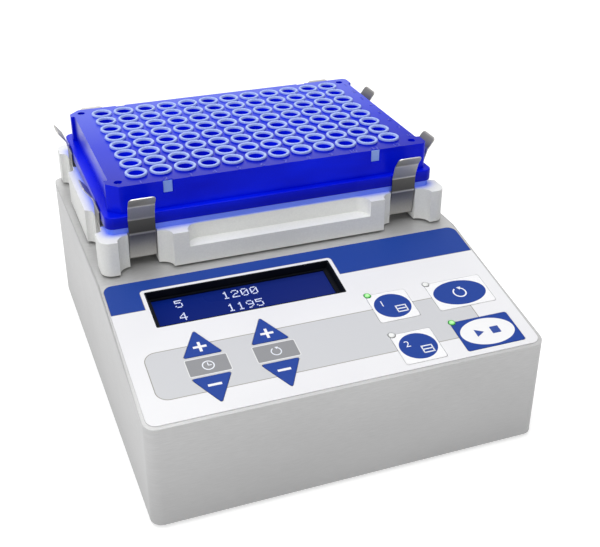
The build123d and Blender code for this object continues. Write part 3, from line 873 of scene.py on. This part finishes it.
# A key's outline; a button has a round bite at its first corner, where its lamp stands
def keyLine(kind, x, row, grow, bite):
    steps = panel["cornerSteps"]
    if kind in ("up", "down"):
        way = -1 if kind == "up" else 1
        slant = atan2(panel["arrowHeight"], panel["arrowHalf"])
        half = panel["arrowHalf"] + grow / tan(slant / 2)
        tip = panel["arrowHeight"] + grow / cos(slant)
        points = [(x - half, row - way * grow), (x + half, row - way * grow), (x, row + way * tip)]
        return rounded(points, panel["arrowCorner"], steps)
    halfWidth = panel["widths"][kind] / 2 + grow
    halfHeight = panel["keyHeight"] / 2 + grow
    left = x - halfWidth
    top = row - halfHeight
    lampX = left + grow + panel["lampInset"]
    lampRow = top + grow
    radius = panel["lampRadius"] + panel["lampGap"]
    first = atan2(sqrt(radius**2 - (left - lampX) ** 2), left - lampX)
    last = atan2(top - lampRow, sqrt(radius**2 - (top - lampRow) ** 2))
    if bite == "out":
        last += 2 * pi
    turns = [first + (last - first) * step / panel["biteSteps"] for step in range(panel["biteSteps"] + 1)]
    line = [Vector((lampX + radius * cos(turn), lampRow + radius * sin(turn))) for turn in turns]
    corners = rectangle(x, row, 2 * halfWidth, 2 * halfHeight, panel["keyCorner"], steps)
    return line + corners[steps + 1:]


# The row of a key's middle, where its sign and its stem stand
def keyMiddle(kind, row):
    return row + {"up": -1, "down": 1}.get(kind, 0) * panel["arrowMiddle"]


def printedSurface(paint, kind, colour, grain):
    paint.surface({
        "Base Color": colour,
        "Roughness": ink["roughness"][kind],
        "Specular IOR Level": ink["gloss"],
    }, kind, grain)


def panelInk():
    material, paint = newPaint("membrane_print")
    x, row = paint.panel()
    header = paint.inRectangle(x, row, *ink["header"]).atMost(ink["headerFoot"] - row)
    header = header.atMost(0 - paint.inRectangle(x, row, *ink["border"]))
    band = paint.inRectangle(x, row, *ink["bandZone"]).atMost(ink["bandEnd"] - x)
    corner = ink["plateCorner"]
    zones = [paint.inRectangle(x, row, *ends, *ink["plateRows"], corner) for ends in ink["plates"]]
    plates = zones[0].atLeast(zones[1])
    wide = ink["lineWidth"]
    colour = paint.between(paint.noise(ink["filmCloud"]), *ink["film"])
    layers = [
        (band + wide, "line"), (band, "band"), (plates + wide, "plateEdge"), (plates, "plate"),
        (header + ink["headerLine"], "line"), (header, "blue"),
    ]
    for inside, tone in layers:
        colour = paint.mix(paint.inked(inside), colour, ink[tone])
    printedSurface(paint, "film", colour, paint.texture("film")[1])
    return material


# A key's print: an arrow's sign, or a button's oval
def keyInk(name, kind, x, row):
    material, paint = newPaint(f"ink_{name}")
    across, down = paint.panel()
    base, top = ink["white"], ink["blue"]
    if kind in panel["widths"]:
        sign = paint.inEllipse(across, down, (x, row), *ink["ovals"][kind])
    else:
        middle = keyMiddle(kind, row)
        half, wide, corner = ink["signHalf"], ink["signWide"], ink["signCorner"]
        level = (x - half, x + half, middle - wide, middle + wide, corner)
        sign = paint.inRectangle(across, down, *level)
        if kind == "up":
            upright = (x - wide, x + wide, middle - half, middle + half, corner)
            sign = sign.atLeast(paint.inRectangle(across, down, *upright))
    if kind in ("up", "down") or name == "key_start_stop":
        base, top = top, base
    tone, grain = paint.texture("key")
    pale = tuple(min(1.0, part * ink["paler"]) for part in base)
    colour = paint.mix(paint.inked(sign), paint.between(tone, base, pale), top)
    printedSurface(paint, "key", colour, grain)
    return material


def addKeyCap(name, kind, x, row, settings):
    build = bmesh.new()
    prism(build, keyLine(kind, x, row, 0.0, "in"), settings["keyLow"], settings["keyTop"], onPanel)
    stem = rectangle(x, keyMiddle(kind, row), settings["stem"], settings["stem"])
    prism(build, stem, settings["stemLow"], settings["stemTop"], onPanel)
    cap = soften(addMesh(f"{name}_cap", build), settings["keyEdge"])
    slotName = "key_white" if kind in settings["widths"] else "key_blue"
    dress(cap, keyInk(name, kind, x, row), f"{name}_body", slotName, name)


def addPanel(settings):
    windows = [rectangle(*housing["displayWindow"], settings["windowCorner"], 4)]
    windows += [keyLine(*key, settings["keyGap"], "out") for key in keys.values()]
    build = bmesh.new()
    outline = rectangle(*settings["outline"])
    prism(build, outline, settings["low"], settings["face"], onPanel, windows)
    membrane = addMesh("panel_membrane_print", build)
    dress(membrane, panelInk(), "housing", "membrane_white", "panel_membrane")
    for name, key in keys.items():
        addKeyCap(name, *key, settings)


addPanel(panel)

# Lamps: low domes at the corners of the buttons, two of them lit
lamps = {
    "lit": ("preset_one", "start_stop"),
    "sides": 24,
    "sharp": 50.0,
    "dome": [(1.0, 0.2), (0.9, 0.37), (0.62, 0.48), (0.3, 0.54), (0.0, 0.55)],
    # The spot is the painted highlight at the middle, and the ring bounds the darker rim; the last of
    # each set of tones is the highlight's colour
    "spot": 0.75,
    "ring": 1.12,
    "litTones": (shade(18, 110, 32), shade(40, 172, 52), shade(176, 240, 160)),
    "offTones": (shade(140, 142, 140), shade(224, 226, 224), shade(244, 245, 244)),
    "softness": {"spot": 0.8, "ring": 0.2},
    "roughness": 0.18,
    "coat": 0.6,
    "glow": 0.35,
}


# Darker at the rim, clear in its body, and a painted highlight at the middle
def lampFinish(name, place, lit, settings):
    material, paint = newPaint(f"ink_lamp_{name}")
    across, down = paint.panel()
    # The spot: a painted highlight
    spot = paint.inEllipse(across, down, place, settings["spot"], settings["spot"])
    ring = paint.inEllipse(across, down, place, settings["ring"], settings["ring"])
    rim, body, light = settings["litTones" if lit else "offTones"]
    soft = settings["softness"]
    colour = paint.mix(paint.inked(ring, soft["ring"]), rim, body)
    colour = paint.mix(paint.inked(spot, soft["spot"]), colour, light)
    values = {"Base Color": colour, "Roughness": settings["roughness"], "Coat Weight": settings["coat"]}
    if lit:
        values.update({"Emission Color": colour, "Emission Strength": settings["glow"]})
    paint.surface(values)
    return material


def addLamps(settings):
    low, radius = panel["lampLow"], panel["lampRadius"]
    profile = [(0, low), (radius, low)]
    profile += [(radius * share, level) for share, level in settings["dome"]]
    for name, (kind, x, row) in keys.items():
        if kind not in panel["widths"]:
            continue
        short = name.replace("key_", "")
        place = (x - panel["widths"][kind] / 2 + panel["lampInset"], row - panel["keyHeight"] / 2)
        build = bmesh.new()
        turned(build, profile, place, onPanel, settings["sides"])
        lamp = addMesh(f"lamp_{short}_lens", build, settings["sharp"])
        lit = short in settings["lit"]
        slotName = "lamp_green" if lit else "lamp_off"
        dress(lamp, lampFinish(short, place, lit, settings), "housing", slotName, f"lamp_{short}")


addLamps(lamps)
print("panel, keys and lamps made")

# Display: a blue glass deep in its frame, with two rows of figures in dots
display = {
    "ends": (-53.5, 11.5),
    "tones": (shade(4, 27, 104), shade(22, 36, 104)),
    "cloud": (45.0, 0.2),
    "roughness": (0.24, 0.08),
    "gloss": 0.06,
    "glow": 0.25,
    "level": -3.69,
    "dot": 0.46,
    "dotRise": 0.03,
    "dotTones": (shade(196, 206, 240), shade(222, 228, 248)),
    "dotCloud": 300.0,
    "pitch": 0.56,
    "figurePitch": 3.5,
    "middleLine": 3,
    "rows": {12.9: {-45.5: "5", -28.2: "1200"}, 19.6: {-45.5: "4", -28.2: "1195"}},
    "figures": {
        "0": "01110 10001 10011 10101 11001 10001 01110",
        "1": "00100 01100 00100 00100 00100 00100 01110",
        "2": "01110 10001 00001 00110 01000 10000 11111",
        "4": "00010 00110 01010 10010 11111 00010 00010",
        "5": "11111 10000 11110 00001 00001 10001 01110",
        "9": "01110 10001 10001 01111 00001 00010 01100",
    },
    "liner": 0.5,
    "linerGap": 0.02,
    "linerLevels": (-3.0, 0.12),
    "linerCorners": (0.5, 0.4),
}


def displayBlue(settings):
    material, paint = newPaint("display_blue")
    scale, share = settings["cloud"]
    rough, spread = settings["roughness"]
    cloud = paint.noise(scale)
    tone = paint.panel()[0].rising(*settings["ends"]) * (1 - share) + cloud * share
    colour = paint.between(tone, *settings["tones"], 0.1)
    paint.surface({
        "Base Color": colour,
        "Roughness": rough + cloud * spread,
        "Specular IOR Level": settings["gloss"],
        "Emission Color": colour,
        "Emission Strength": settings["glow"],
    })
    return material


def dotLight(settings):
    material, paint = newPaint("display_dots")
    colour = paint.between(paint.noise(settings["dotCloud"]), *settings["dotTones"])
    paint.surface({
        "Base Color": colour,
        "Emission Color": colour,
        "Emission Strength": settings["glow"],
    })
    return material


# The places of a figure's lit dots, from where its first column stands
def dotPlaces(figure, start, row, settings):
    places = []
    for down, line in enumerate(settings["figures"][figure].split()):
        for across, lit in enumerate(line):
            if lit == "1":
                x = start + across * settings["pitch"]
                spot = row + (down - settings["middleLine"]) * settings["pitch"]
                places.append(onPanel(x, spot, settings["level"]))
    return places


def addDisplay(settings):
    build = bmesh.new()
    side = settings["dot"]
    origin = onPanel(0, 0, 0)
    square = rectangle(0, 0, side, side)
    prism(build, square, 0, settings["dotRise"], lambda *spot: onPanel(*spot) - origin)
    places = []
    for row, words in settings["rows"].items():
        for start, word in words.items():
            for index, figure in enumerate(word):
                first = start + index * settings["figurePitch"]
                places += dotPlaces(figure, first, row, settings)
    dots = repeat("display_figures", build, places, dotLight(settings))
    dress(dots, None, "housing", "display_blue")


# The dark lining that the opening shows all round
def addLiner(settings):
    x, row, width, height = housing["displayWindow"]
    inset, gap = 2 * settings["liner"], 2 * settings["linerGap"]
    outerCorner, innerCorner = settings["linerCorners"]
    build = bmesh.new()
    hole = rectangle(x, row, width - inset, height - inset, innerCorner, 4)
    outline = rectangle(x, row, width - gap, height - gap, outerCorner, 4)
    prism(build, outline, *settings["linerLevels"], onPanel, [hole])
    dress(addMesh("display_liner", build), finishes["black"], "housing", "display_black")


finishes["display"] = displayBlue(display)
addDisplay(display)
addLiner(display)
print("display made")

# Plate holder: the CAD moulding, with all its edges broken
holder = {"sharp": 28.0, "edge": 0.45, "edgeSteps": 3, "edgeAngle": 35.0}


def addHolder(settings):
    piece = addMesh("holder_moulding", nodeShape("plate_holder"), settings["sharp"])
    soften(piece, settings["edge"], settings["edgeSteps"], settings["edgeAngle"])
    dress(piece, finishes["holder"], "table", "holder_white", "plate_holder")


addHolder(holder)

# Spring clips: one strip of sheet, bent four times, with a rounded tip
clip = {
    "halfWidth": 4.85,
    "thickness": 0.4,
    "line": [(-8.1, 56.5), (-1.1, 56.5), (0.35, 66.8), (0.35, 72.7), (2.2, 78.3), (5.2, 82.4)],
    "bends": [0, 0.9, 3.0, 3.0, 5.0, 0],
    "bendSteps": 6,
    "tipRadius": 1.6,
    "tipSteps": 6,
    "edge": 0.07,
    "edgeAngle": 50.0,
    "longX": 51.2,
    "shortY": 28.5,
    "plateHalf": (63.88, 42.74),
}


# Points along the strip, each with the strip's half width there
def clipStations(settings):
    line = rounded(settings["line"], settings["bends"], settings["bendSteps"], closed=False)
    end = line[-1]
    way = (end - line[-2]).normalized()
    radius = settings["tipRadius"]
    stations = [(point, settings["halfWidth"]) for point in line[:-1]]
    for step in range(settings["tipSteps"] + 1):
        turn = step * pi / 2 / settings["tipSteps"]
        back, inset = radius * (1 - sin(turn)), radius * (1 - cos(turn))
        stations.append((end - way * back, settings["halfWidth"] - inset))
    return stations


def addClip(name, spot, out, settings):
    stations = clipStations(settings)
    along = Vector((out[1], -out[0], 0))
    build = bmesh.new()
    rings = []
    for index, (point, half) in enumerate(stations):
        before = stations[max(index - 1, 0)][0]
        after = stations[min(index + 1, len(stations) - 1)][0]
        way = (after - before).normalized()
        side = Vector((-way.y, way.x)) * settings["thickness"] / 2
        ring = []
        for reach, width in ((side, -half), (side, half), (-side, half), (-side, -half)):
            at = point + reach
            place = Vector((spot[0] + out[0] * at.x, spot[1] + out[1] * at.x, at.y))
            ring.append(build.verts.new(place + along * width))
        rings.append(ring)
    for lower, upper in zip(rings, rings[1:]):
        for index in range(4):
            build.faces.new((lower[index - 1], lower[index], upper[index], upper[index - 1]))
    build.faces.new(rings[0])
    build.faces.new(rings[-1])
    strip = soften(addMesh(f"{name}_strip", build), settings["edge"], 2, settings["edgeAngle"])
    dress(strip, finishes["clip"], f"{name}_body", "clip_steel", name)


def addClips(settings):
    halfX, halfY = settings["plateHalf"]
    for side, way in (("left", -1), ("right", 1)):
        for end, turn in (("front", -1), ("rear", 1)):
            edge = (way * settings["longX"], plateY + turn * halfY)
            addClip(f"clip_{end}_{side}", edge, (0, turn), settings)
            edge = (way * halfX, plateY + turn * settings["shortY"])
            addClip(f"clip_{side}_{end}", edge, (way, 0), settings)


addClips(clip)
print("holder and clips made")

# Microplate: skirt, walls and deck, with a rim and a tapered tube at each well
plate = {
    "length": 127.76,
    "width": 85.48,
    "corner": 3.2,
    "bottom": 69.3,
    "flange": 4.6,
    "lap": 0.8,
    "deck": 84.4,
    "deckThickness": 1.2,
    "bodyLength": 123.4,
    "bodyWidth": 80.8,
    "cutCorner": 4.0,
    "recess": (1.5, 67.0),
    "outlineRadii": [1.0, 2.0, 0.5, 0.6, 0.6, 0.5, 2.0, 1.0, 1.0, 0.5, 0.6, 0.6, 0.5, 1.0],
    "inner": (0, plateY, 117.4, 77.8, 1.5, 4),
    "skirtEdge": 0.5,
    "wallEdge": 0.35,
    "edgeAngle": 40.0,
    "pitch": 9.0,
    "columns": 12,
    "rows": 8,
    "sides": 32,
    "wellSharp": 40.0,
    "wellInside": [
        (4.05, 0.0), (4.05, 0.75), (3.98, 0.92), (3.84, 1.0), (3.24, 1.0), (3.08, 0.9),
        (3.0, 0.7), (2.85, 0.2), (2.6, -3.0), (1.7, -12.6), (1.1, -13.6), (0, -13.9),
    ],
    "wellOutside": [(0, -14.3), (1.5, -14.1), (2.3, -12.8), (3.3, -3.0), (3.5, -1.2)],
    "holes": (57.1, 36.2, 1.5),
    "tabs": (40.2, 3.7, 4.9, 0.8),
    "cutPast": 2.0,
    "tabGap": 0.15,
    "tabThickness": 0.4,
    "tabDrop": 0.35,
    "tabEdge": 0.1,
}
plateTones = {
    "wall": (shade(0, 12, 200), shade(0, 28, 234)),
    # The foot tone and its share and levels: painted shade, darker low on the walls and over the flange
    "foot": shade(0, 4, 130),
    "footShadeShare": 0.5,
    "footShadeLevels": (74.4, 71.2),
    # The end tone and its share, reach and levels: painted light through the plastic, paler on the walls
    # of the end recesses
    "end": shade(128, 134, 224),
    "paintedEndLightShare": 0.85,
    "paintedEndLightReach": 1 / 3,
    "paintedEndLightLevels": (75.0, 83.0),
    # The deck's tones and their share: painted sheen, darker at the front and paler towards the back
    "deck": ((0.05, shade(2, 8, 172)), (0.45, shade(6, 36, 206)), (0.95, shade(84, 100, 226))),
    "deckSheenShare": 0.85,
    "deckLevels": (83.9, 84.15),
    # The rim tones and their levels: painted highlight on the tops of the wells' rims
    "rim": (shade(158, 180, 240), shade(178, 196, 246)),
    "rimHighlightLevels": (84.55, 84.75),
    "roughness": 0.26,
    "gloss": 0.1,
    # The glow: painted light, the walls glowing as though lit through the plastic
    "glow": 0.10,
}


# Blue moulding, with light painted on: a painted sheen that leaves the deck deeper towards the front,
# painted highlights on the rims, painted light through the ends, painted shade low on the walls, and a
# painted glow in the walls
def plateShellWithPaintedLight(settings):
    material, paint = newPaint("plate_shell_blue")
    x, y, z = paint.millimetres()
    tone, grain = paint.texture("plate")
    # Painted shade: darker towards the flange
    foot = z.rising(*settings["footShadeLevels"]) * settings["footShadeShare"]
    wall = paint.mix(foot, paint.between(tone, *settings["wall"]), settings["foot"])
    depth, span = plate["recess"]
    # Painted light through the ends: paler on the recess walls
    end = abs(abs(x) - (plate["bodyLength"] / 2 - depth)).rising(settings["paintedEndLightReach"], 0)
    end = end * (span / 2 - abs(y - plateY)).clamped() * z.rising(*settings["paintedEndLightLevels"])
    wall = paint.mix(end * settings["paintedEndLightShare"], wall, settings["end"])
    # Painted sheen: the deck paler towards the back
    back = (y - plateY) / plate["width"] + 0.5
    share = settings["deckSheenShare"]
    top = paint.ramp(back * share + tone * (1 - share), *settings["deck"])
    deck = paint.lying() * z.rising(*settings["deckLevels"])
    # Painted highlight on the rims
    rim = z.rising(*settings["rimHighlightLevels"])
    pale = paint.between(grain, *settings["rim"])
    paint.surface({
        "Base Color": paint.mix(rim, paint.mix(deck, wall, top), pale),
        "Roughness": settings["roughness"],
        "Specular IOR Level": settings["gloss"],
        # Painted glow on the walls, not on the deck or the rims
        "Emission Color": paint.mix(deck.atLeast(rim), wall, (0, 0, 0, 1)),
        "Emission Strength": settings["glow"],
    }, "plate", grain)
    return material


finishes["plate"] = plateShellWithPaintedLight(plateTones)


# The body's outline: two cut corners on the left, and a shallow recess at each end
def plateOutline(settings):
    halfX = settings["bodyLength"] / 2
    halfY = settings["bodyWidth"] / 2
    cut = settings["cutCorner"]
    depth, span = settings["recess"]
    half = span / 2
    points = [
        (-halfX + cut, -halfY), (halfX, -halfY),
        (halfX, -half), (halfX - depth, -half), (halfX - depth, half), (halfX, half),
        (halfX, halfY), (-halfX + cut, halfY), (-halfX, halfY - cut),
        (-halfX, half), (-halfX + depth, half), (-halfX + depth, -half), (-halfX, -half),
        (-halfX, -halfY + cut),
    ]
    return [point + Vector((0, plateY)) for point in rounded(points, settings["outlineRadii"], 5)]


def addPlateShell(settings):
    inner = rectangle(*settings["inner"])
    flangeTop = settings["bottom"] + settings["flange"]
    build = bmesh.new()
    outer = rectangle(0, plateY, settings["length"], settings["width"], settings["corner"])
    prism(build, outer, settings["bottom"], flangeTop, flat, [inner])
    skirt = addMesh("microplate_skirt", build)
    soften(skirt, settings["skirtEdge"], 3, settings["edgeAngle"])
    dress(skirt, finishes["plate"], "plate", "plate_blue", "microplate")

    build = bmesh.new()
    prism(build, plateOutline(settings), flangeTop - settings["lap"], settings["deck"], flat, [inner])
    walls = addMesh("microplate_walls", build)
    x, width, height, depth = settings["tabs"]
    gap, thickness, past = settings["tabGap"], settings["tabThickness"], settings["cutPast"]
    low = settings["deck"] - height
    cuts = bmesh.new()
    tabs = bmesh.new()
    for side in (-1, 1):
        for way in (-1, 1):
            edge = plateY + way * settings["bodyWidth"] / 2
            prism(cuts, rectangle(side * x, edge, width, 2 * depth), low, settings["deck"] + past)
            middle = edge - way * (depth - thickness / 2)
            back = rectangle(side * x, middle, width - 2 * gap, thickness)
            prism(tabs, back, low + gap, settings["deck"] - settings["tabDrop"])
    carve(walls, cuts)
    walls.data.shade_smooth()
    walls.data.set_sharp_from_angle(angle=radians(meshing["sharp"]))
    soften(walls, settings["wallEdge"], 2, settings["edgeAngle"])
    dress(walls, finishes["plate"], "plate", "plate_blue")
    tabPiece = soften(addMesh("microplate_tabs", tabs), settings["tabEdge"])
    dress(tabPiece, finishes["plateTab"], "plate", "plate_blue")


# One square of the deck with its rim and tube, drawn about the origin
def wellUnit(settings):
    build = bmesh.new()
    sides = settings["sides"]
    half = settings["pitch"] / 2
    turned(build, settings["wellInside"], sides=sides)
    turned(build, settings["wellOutside"], sides=sides)
    for radius, level in (settings["wellInside"][0], settings["wellOutside"][-1]):
        ring = [build.verts.new((*point, level)) for point in circle(0, 0, radius, sides)]
        square = []
        for x, y in circle(0, 0, 1.0, sides):
            reach = half / max(abs(x), abs(y))
            square.append(build.verts.new((x * reach, y * reach, level)))
        for index in range(sides):
            build.faces.new((ring[index - 1], ring[index], square[index], square[index - 1]))
    return build


def addWells(settings):
    pitch = settings["pitch"]
    halfX = settings["columns"] * pitch / 2
    halfY = settings["rows"] * pitch / 2
    places = []
    for column in range(settings["columns"]):
        for row in range(settings["rows"]):
            x = (column + 0.5) * pitch - halfX
            y = (row + 0.5) * pitch - halfY
            places.append((x, plateY + y, settings["deck"]))
    sharp = settings["wellSharp"]
    wells = repeat("microplate_wells", wellUnit(settings), places, finishes["plate"], sharp)
    dress(wells, None, "plate", "plate_blue")


# The deck round the wells, with a hole at each corner
def addDeck(settings):
    spread = settings["pitch"]
    x, y, radius = settings["holes"]
    holes = [rectangle(0, plateY, settings["columns"] * spread, settings["rows"] * spread)]
    holes += [circle(sx * x, plateY + sy * y, radius, 20) for sx in (-1, 1) for sy in (-1, 1)]
    deck = settings["deck"]
    build = bmesh.new()
    prism(build, rectangle(*settings["inner"]), deck - settings["deckThickness"], deck, flat, holes)
    dress(addMesh("microplate_deck", build), finishes["plate"], "plate", "plate_blue")


addPlateShell(plate)
addWells(plate)
addDeck(plate)
print("microplate made")

# Marks: plain figures raised on the deck, and plain signs printed on the panel
marks = {
    "figureHeight": 2.4,
    "deckRow": -38.9,
    "deckColumn": 58.4,
    "font": {"size": 1.4, "extrude": 0.5, "steps": 3},
    "deckLevels": (-0.1, 0.12),
    "signLevels": (-0.05, 0.02),
    "presetFigure": (-3.4, -1.6, 2.9),
    "icon": {"middle": (2.6, 2.1), "length": 4.2, "width": 3.4, "line": 0.5, "pitch": 1.5},
    "startArrow": [(-4.6, -1.8), (-4.6, 1.8), (-1.4, 0)],
    "stopSquare": (3.0, 3.3, 0.2),
    "keyTurn": (2.6, 0.55),
    "panelTurn": (1.9, 0.4),
    "turnArc": (-60, 12, 26),
    "turnHead": (1.6, 2.6),
    "clock": (2.1, 1.7),
    "hands": ((0, -0.65, 0.35, 1.3), (0.55, 0, 1.1, 0.35)),
}


# A font's figures stand about 0.7 of its size high
def drawFigure(build, words, height, middle, place, levels):
    font = marks["font"]
    curve = bpy.data.curves.new("figure", "FONT")
    curve.body = words
    curve.size = height * font["size"]
    curve.align_x = "CENTER"
    curve.align_y = "CENTER"
    curve.extrude = font["extrude"]
    curve.resolution_u = font["steps"]
    words = addObject("figure", curve)
    bpy.context.view_layer.update()
    mesh = bpy.data.meshes.new_from_object(words.evaluated_get(bpy.context.evaluated_depsgraph_get()))
    for vertex in mesh.vertices:
        x, y, z = vertex.co
        vertex.co = place(middle[0] + x, middle[1] + y, levels[1 if z > 0 else 0])
    build.from_mesh(mesh)
    bpy.data.objects.remove(words)
    bpy.data.meshes.remove(mesh)


# Figures stand up the slope, against the way that rows are counted
def signPlace(u, v, level):
    return onPanel(u, -v, level)


# A turn of the table: an open ring with an arrow head
def drawTurn(build, x, row, size, levels, settings):
    radius, wide = size
    start, step, count = settings["turnArc"]
    turns = [radians(start + index * step) for index in range(count)]
    outer = [Vector((x + radius * cos(turn), row + radius * sin(turn))) for turn in turns]
    within = radius - wide
    inner = [Vector((x + within * cos(turn), row + within * sin(turn))) for turn in turns]
    prism(build, outer + inner[::-1], *levels, onPanel)
    side = Vector((cos(turns[0]), sin(turns[0])))
    way = Vector((side.y, -side.x))
    tip = Vector((x, row)) + side * (radius - wide / 2)
    spread, reach = [share * wide for share in settings["turnHead"]]
    prism(build, [tip + side * spread, tip - side * spread, tip + way * reach], *levels, onPanel)


def addPlateFigures(settings):
    build = bmesh.new()
    levels = [plate["deck"] + level for level in settings["deckLevels"]]
    height = settings["figureHeight"]
    for column in range(plate["columns"]):
        x = (column - (plate["columns"] - 1) / 2) * plate["pitch"]
        spot = (x, plateY + settings["deckRow"])
        drawFigure(build, str(column + 1), height, spot, flat, levels)
    for row in range(plate["rows"]):
        y = ((plate["rows"] - 1) / 2 - row) * plate["pitch"]
        spot = (settings["deckColumn"], plateY + y)
        drawFigure(build, str(row + 1), height, spot, flat, levels)
    raised = addMesh("microplate_figures", build)
    dress(raised, finishes["plateMark"], "plate", "plate_blue")


# A preset's figure, and beside it a plate in outline
def drawPreset(build, figure, x, row, levels, settings):
    across, down, height = settings["presetFigure"]
    drawFigure(build, figure, height, (x + across, -(row + down)), signPlace, levels)
    icon = settings["icon"]
    middleX, middleRow = x + icon["middle"][0], row + icon["middle"][1]
    for step in (-1, 0, 1):
        slab = rectangle(middleX, middleRow + step * icon["pitch"], icon["length"], icon["line"])
        prism(build, slab, *levels, onPanel)
    for side in (-1, 1):
        edge = middleX + side * (icon["length"] - icon["line"]) / 2
        prism(build, rectangle(edge, middleRow, icon["line"], icon["width"]), *levels, onPanel)


def addKeySigns(settings):
    levels = [panel["keyTop"] + level for level in settings["signLevels"]]
    for name, figure in (("key_preset_one", "1"), ("key_preset_two", "2")):
        build = bmesh.new()
        drawPreset(build, figure, *keys[name][1:], levels, settings)
        dress(addMesh(f"{name}_sign", build), finishes["mark"], f"{name}_body", "key_white")

    x, row = keys["key_start_stop"][1:]
    build = bmesh.new()
    arrow = [Vector((x + u, row + v)) for u, v in settings["startArrow"]]
    prism(build, arrow, *levels, onPanel)
    across, side, corner = settings["stopSquare"]
    prism(build, rectangle(x + across, row, side, side, corner, 3), *levels, onPanel)
    sign = addMesh("key_start_stop_sign", build)
    dress(sign, finishes["inkBlue"], "key_start_stop_body", "key_blue")

    build = bmesh.new()
    drawTurn(build, *keys["key_short_mix"][1:], settings["keyTurn"], levels, settings)
    sign = addMesh("key_short_mix_sign", build)
    dress(sign, finishes["mark"], "key_short_mix_body", "key_white")


# A clock for the time, and a turn for the mixing speed, between their arrows
def addPanelSigns(settings):
    levels = [panel["face"] + level for level in settings["signLevels"]]
    middle = sum(ink["plateRows"]) / 2
    timeX, mixX = [sum(ends) / 2 for ends in ink["plates"]]
    outer, inner = settings["clock"]
    build = bmesh.new()
    prism(build, circle(timeX, middle, outer), *levels, onPanel, [circle(timeX, middle, inner)])
    for across, down, length, width in settings["hands"]:
        prism(build, rectangle(timeX + across, middle + down, length, width), *levels, onPanel)
    drawTurn(build, mixX, middle, settings["panelTurn"], levels, settings)
    dress(addMesh("panel_signs", build), finishes["mark"], "housing", "membrane_white")


finishes["inkBlue"] = plainPlastic("ink_blue", ink["blue"], shade(34, 70, 156), 0.45)
addPlateFigures(marks)
addKeySigns(marks)
addPanelSigns(marks)
print("marks made")

# Feet and screws under the base
underside = {
    "foot": [(0, 0), (4.8, 0), (5.3, 0.2), (5.5, 0.7), (5.5, 1.5), (0, 1.5)],
    "feet": [(x, y, 0) for x in (-53.2, 53.2) for y in (-67.07, 64.93)],
    "screw": [(0, -0.25), (1.2, -0.25), (1.3, -0.6), (2.4, -0.6), (2.8, -0.3), (2.8, 0.0), (0, 0.0)],
    "screws": [(x, y, case["foot"]) for x in (-62.2, 62.2) for y in (-76.07, 73.93)],
    "sides": {"foot": 40, "screw": 24},
    "sharp": 40.0,
}


def addUnderside(settings):
    sides, sharp = settings["sides"], settings["sharp"]
    build = bmesh.new()
    turned(build, settings["foot"], sides=sides["foot"])
    feet = repeat("feet_rubber", build, settings["feet"], finishes["rubber"], sharp)
    dress(feet, None, "housing", "foot_rubber", "rubber_feet")
    build = bmesh.new()
    turned(build, settings["screw"], sides=sides["screw"])
    screws = repeat("base_screws", build, settings["screws"], finishes["steel"], sharp)
    dress(screws, None, "housing", "base_steel")


addUnderside(underside)

# The data socket's insert and contacts, and the hexagon posts beside its shell
port = {
    "middle": (8.0, 18.0),
    "insert": [(-7.55, -3.3), (7.55, -3.3), (6.4, 3.3), (-6.4, 3.3)],
    "insertLevels": (1.21, 1.5),
    "insertEdge": 0.1,
    "contactRows": {-1.42: 5, 1.42: 4},
    "contactPitch": 2.77,
    "contactRadius": 0.5,
    "contactTop": 1.85,
    "postReach": 12.5,
    "postRadius": 2.7,
    "postBore": 1.3,
    "postLevels": (1.2, 2.1),
    "postEdge": 0.12,
}


def addPort(settings):
    x, z = settings["middle"]
    low, high = settings["insertLevels"]
    build = bmesh.new()
    prism(build, [Vector((x + u, z + v)) for u, v in settings["insert"]], low, high, onRear)
    insert = soften(addMesh("data_port_insert", build), settings["insertEdge"])
    dress(insert, finishes["part"], "housing", "part_black")
    build = bmesh.new()
    for down, count in settings["contactRows"].items():
        for index in range(count):
            across = (index - (count - 1) / 2) * settings["contactPitch"]
            ring = circle(x + across, z + down, settings["contactRadius"], 16)
            prism(build, ring, high, settings["contactTop"], onRear)
    contacts = addMesh("data_port_contacts", build)
    dress(contacts, finishes["brass"], "housing", "post_brass")
    build = bmesh.new()
    for side in (-1, 1):
        middle = x + side * settings["postReach"]
        bore = circle(middle, z, settings["postBore"], 20)
        post = circle(middle, z, settings["postRadius"], 6)
        prism(build, post, *settings["postLevels"], onRear, [bore])
    posts = soften(addMesh("data_port_posts", build), settings["postEdge"])
    dress(posts, finishes["port"], "housing", "plain_steel")


addPort(port)
print("underside and rear made")

# CAD nodes whose shape is right as it is
nodeFinishes = {
    "base": ["base_plate"],
    "black": ["display_frame"],
    "board": ["display_board", "keypad_board", "main_board"],
    "part": ["key_switches", "board_parts", "power_socket", "motor_housing"],
    "brass": ["board_spacers", "board_posts", "counterweight"],
    "steel": [
        "shaft_bearings", "idler_bearings", "motor_rotor", "drive_shaft",
        "table_bearings", "holder_screws", "idler_crank_left", "idler_crank_right",
    ],
    "cast": ["drive_chassis", "shaking_table"],
    "port": ["data_port"],
    "display": ["display_glass"],
}
for finishName, nodeNames in nodeFinishes.items():
    for nodeName in nodeNames:
        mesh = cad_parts[nodeName].data
        mesh.materials.clear()
        mesh.materials.append(finishes[finishName])
print("nodes finished")
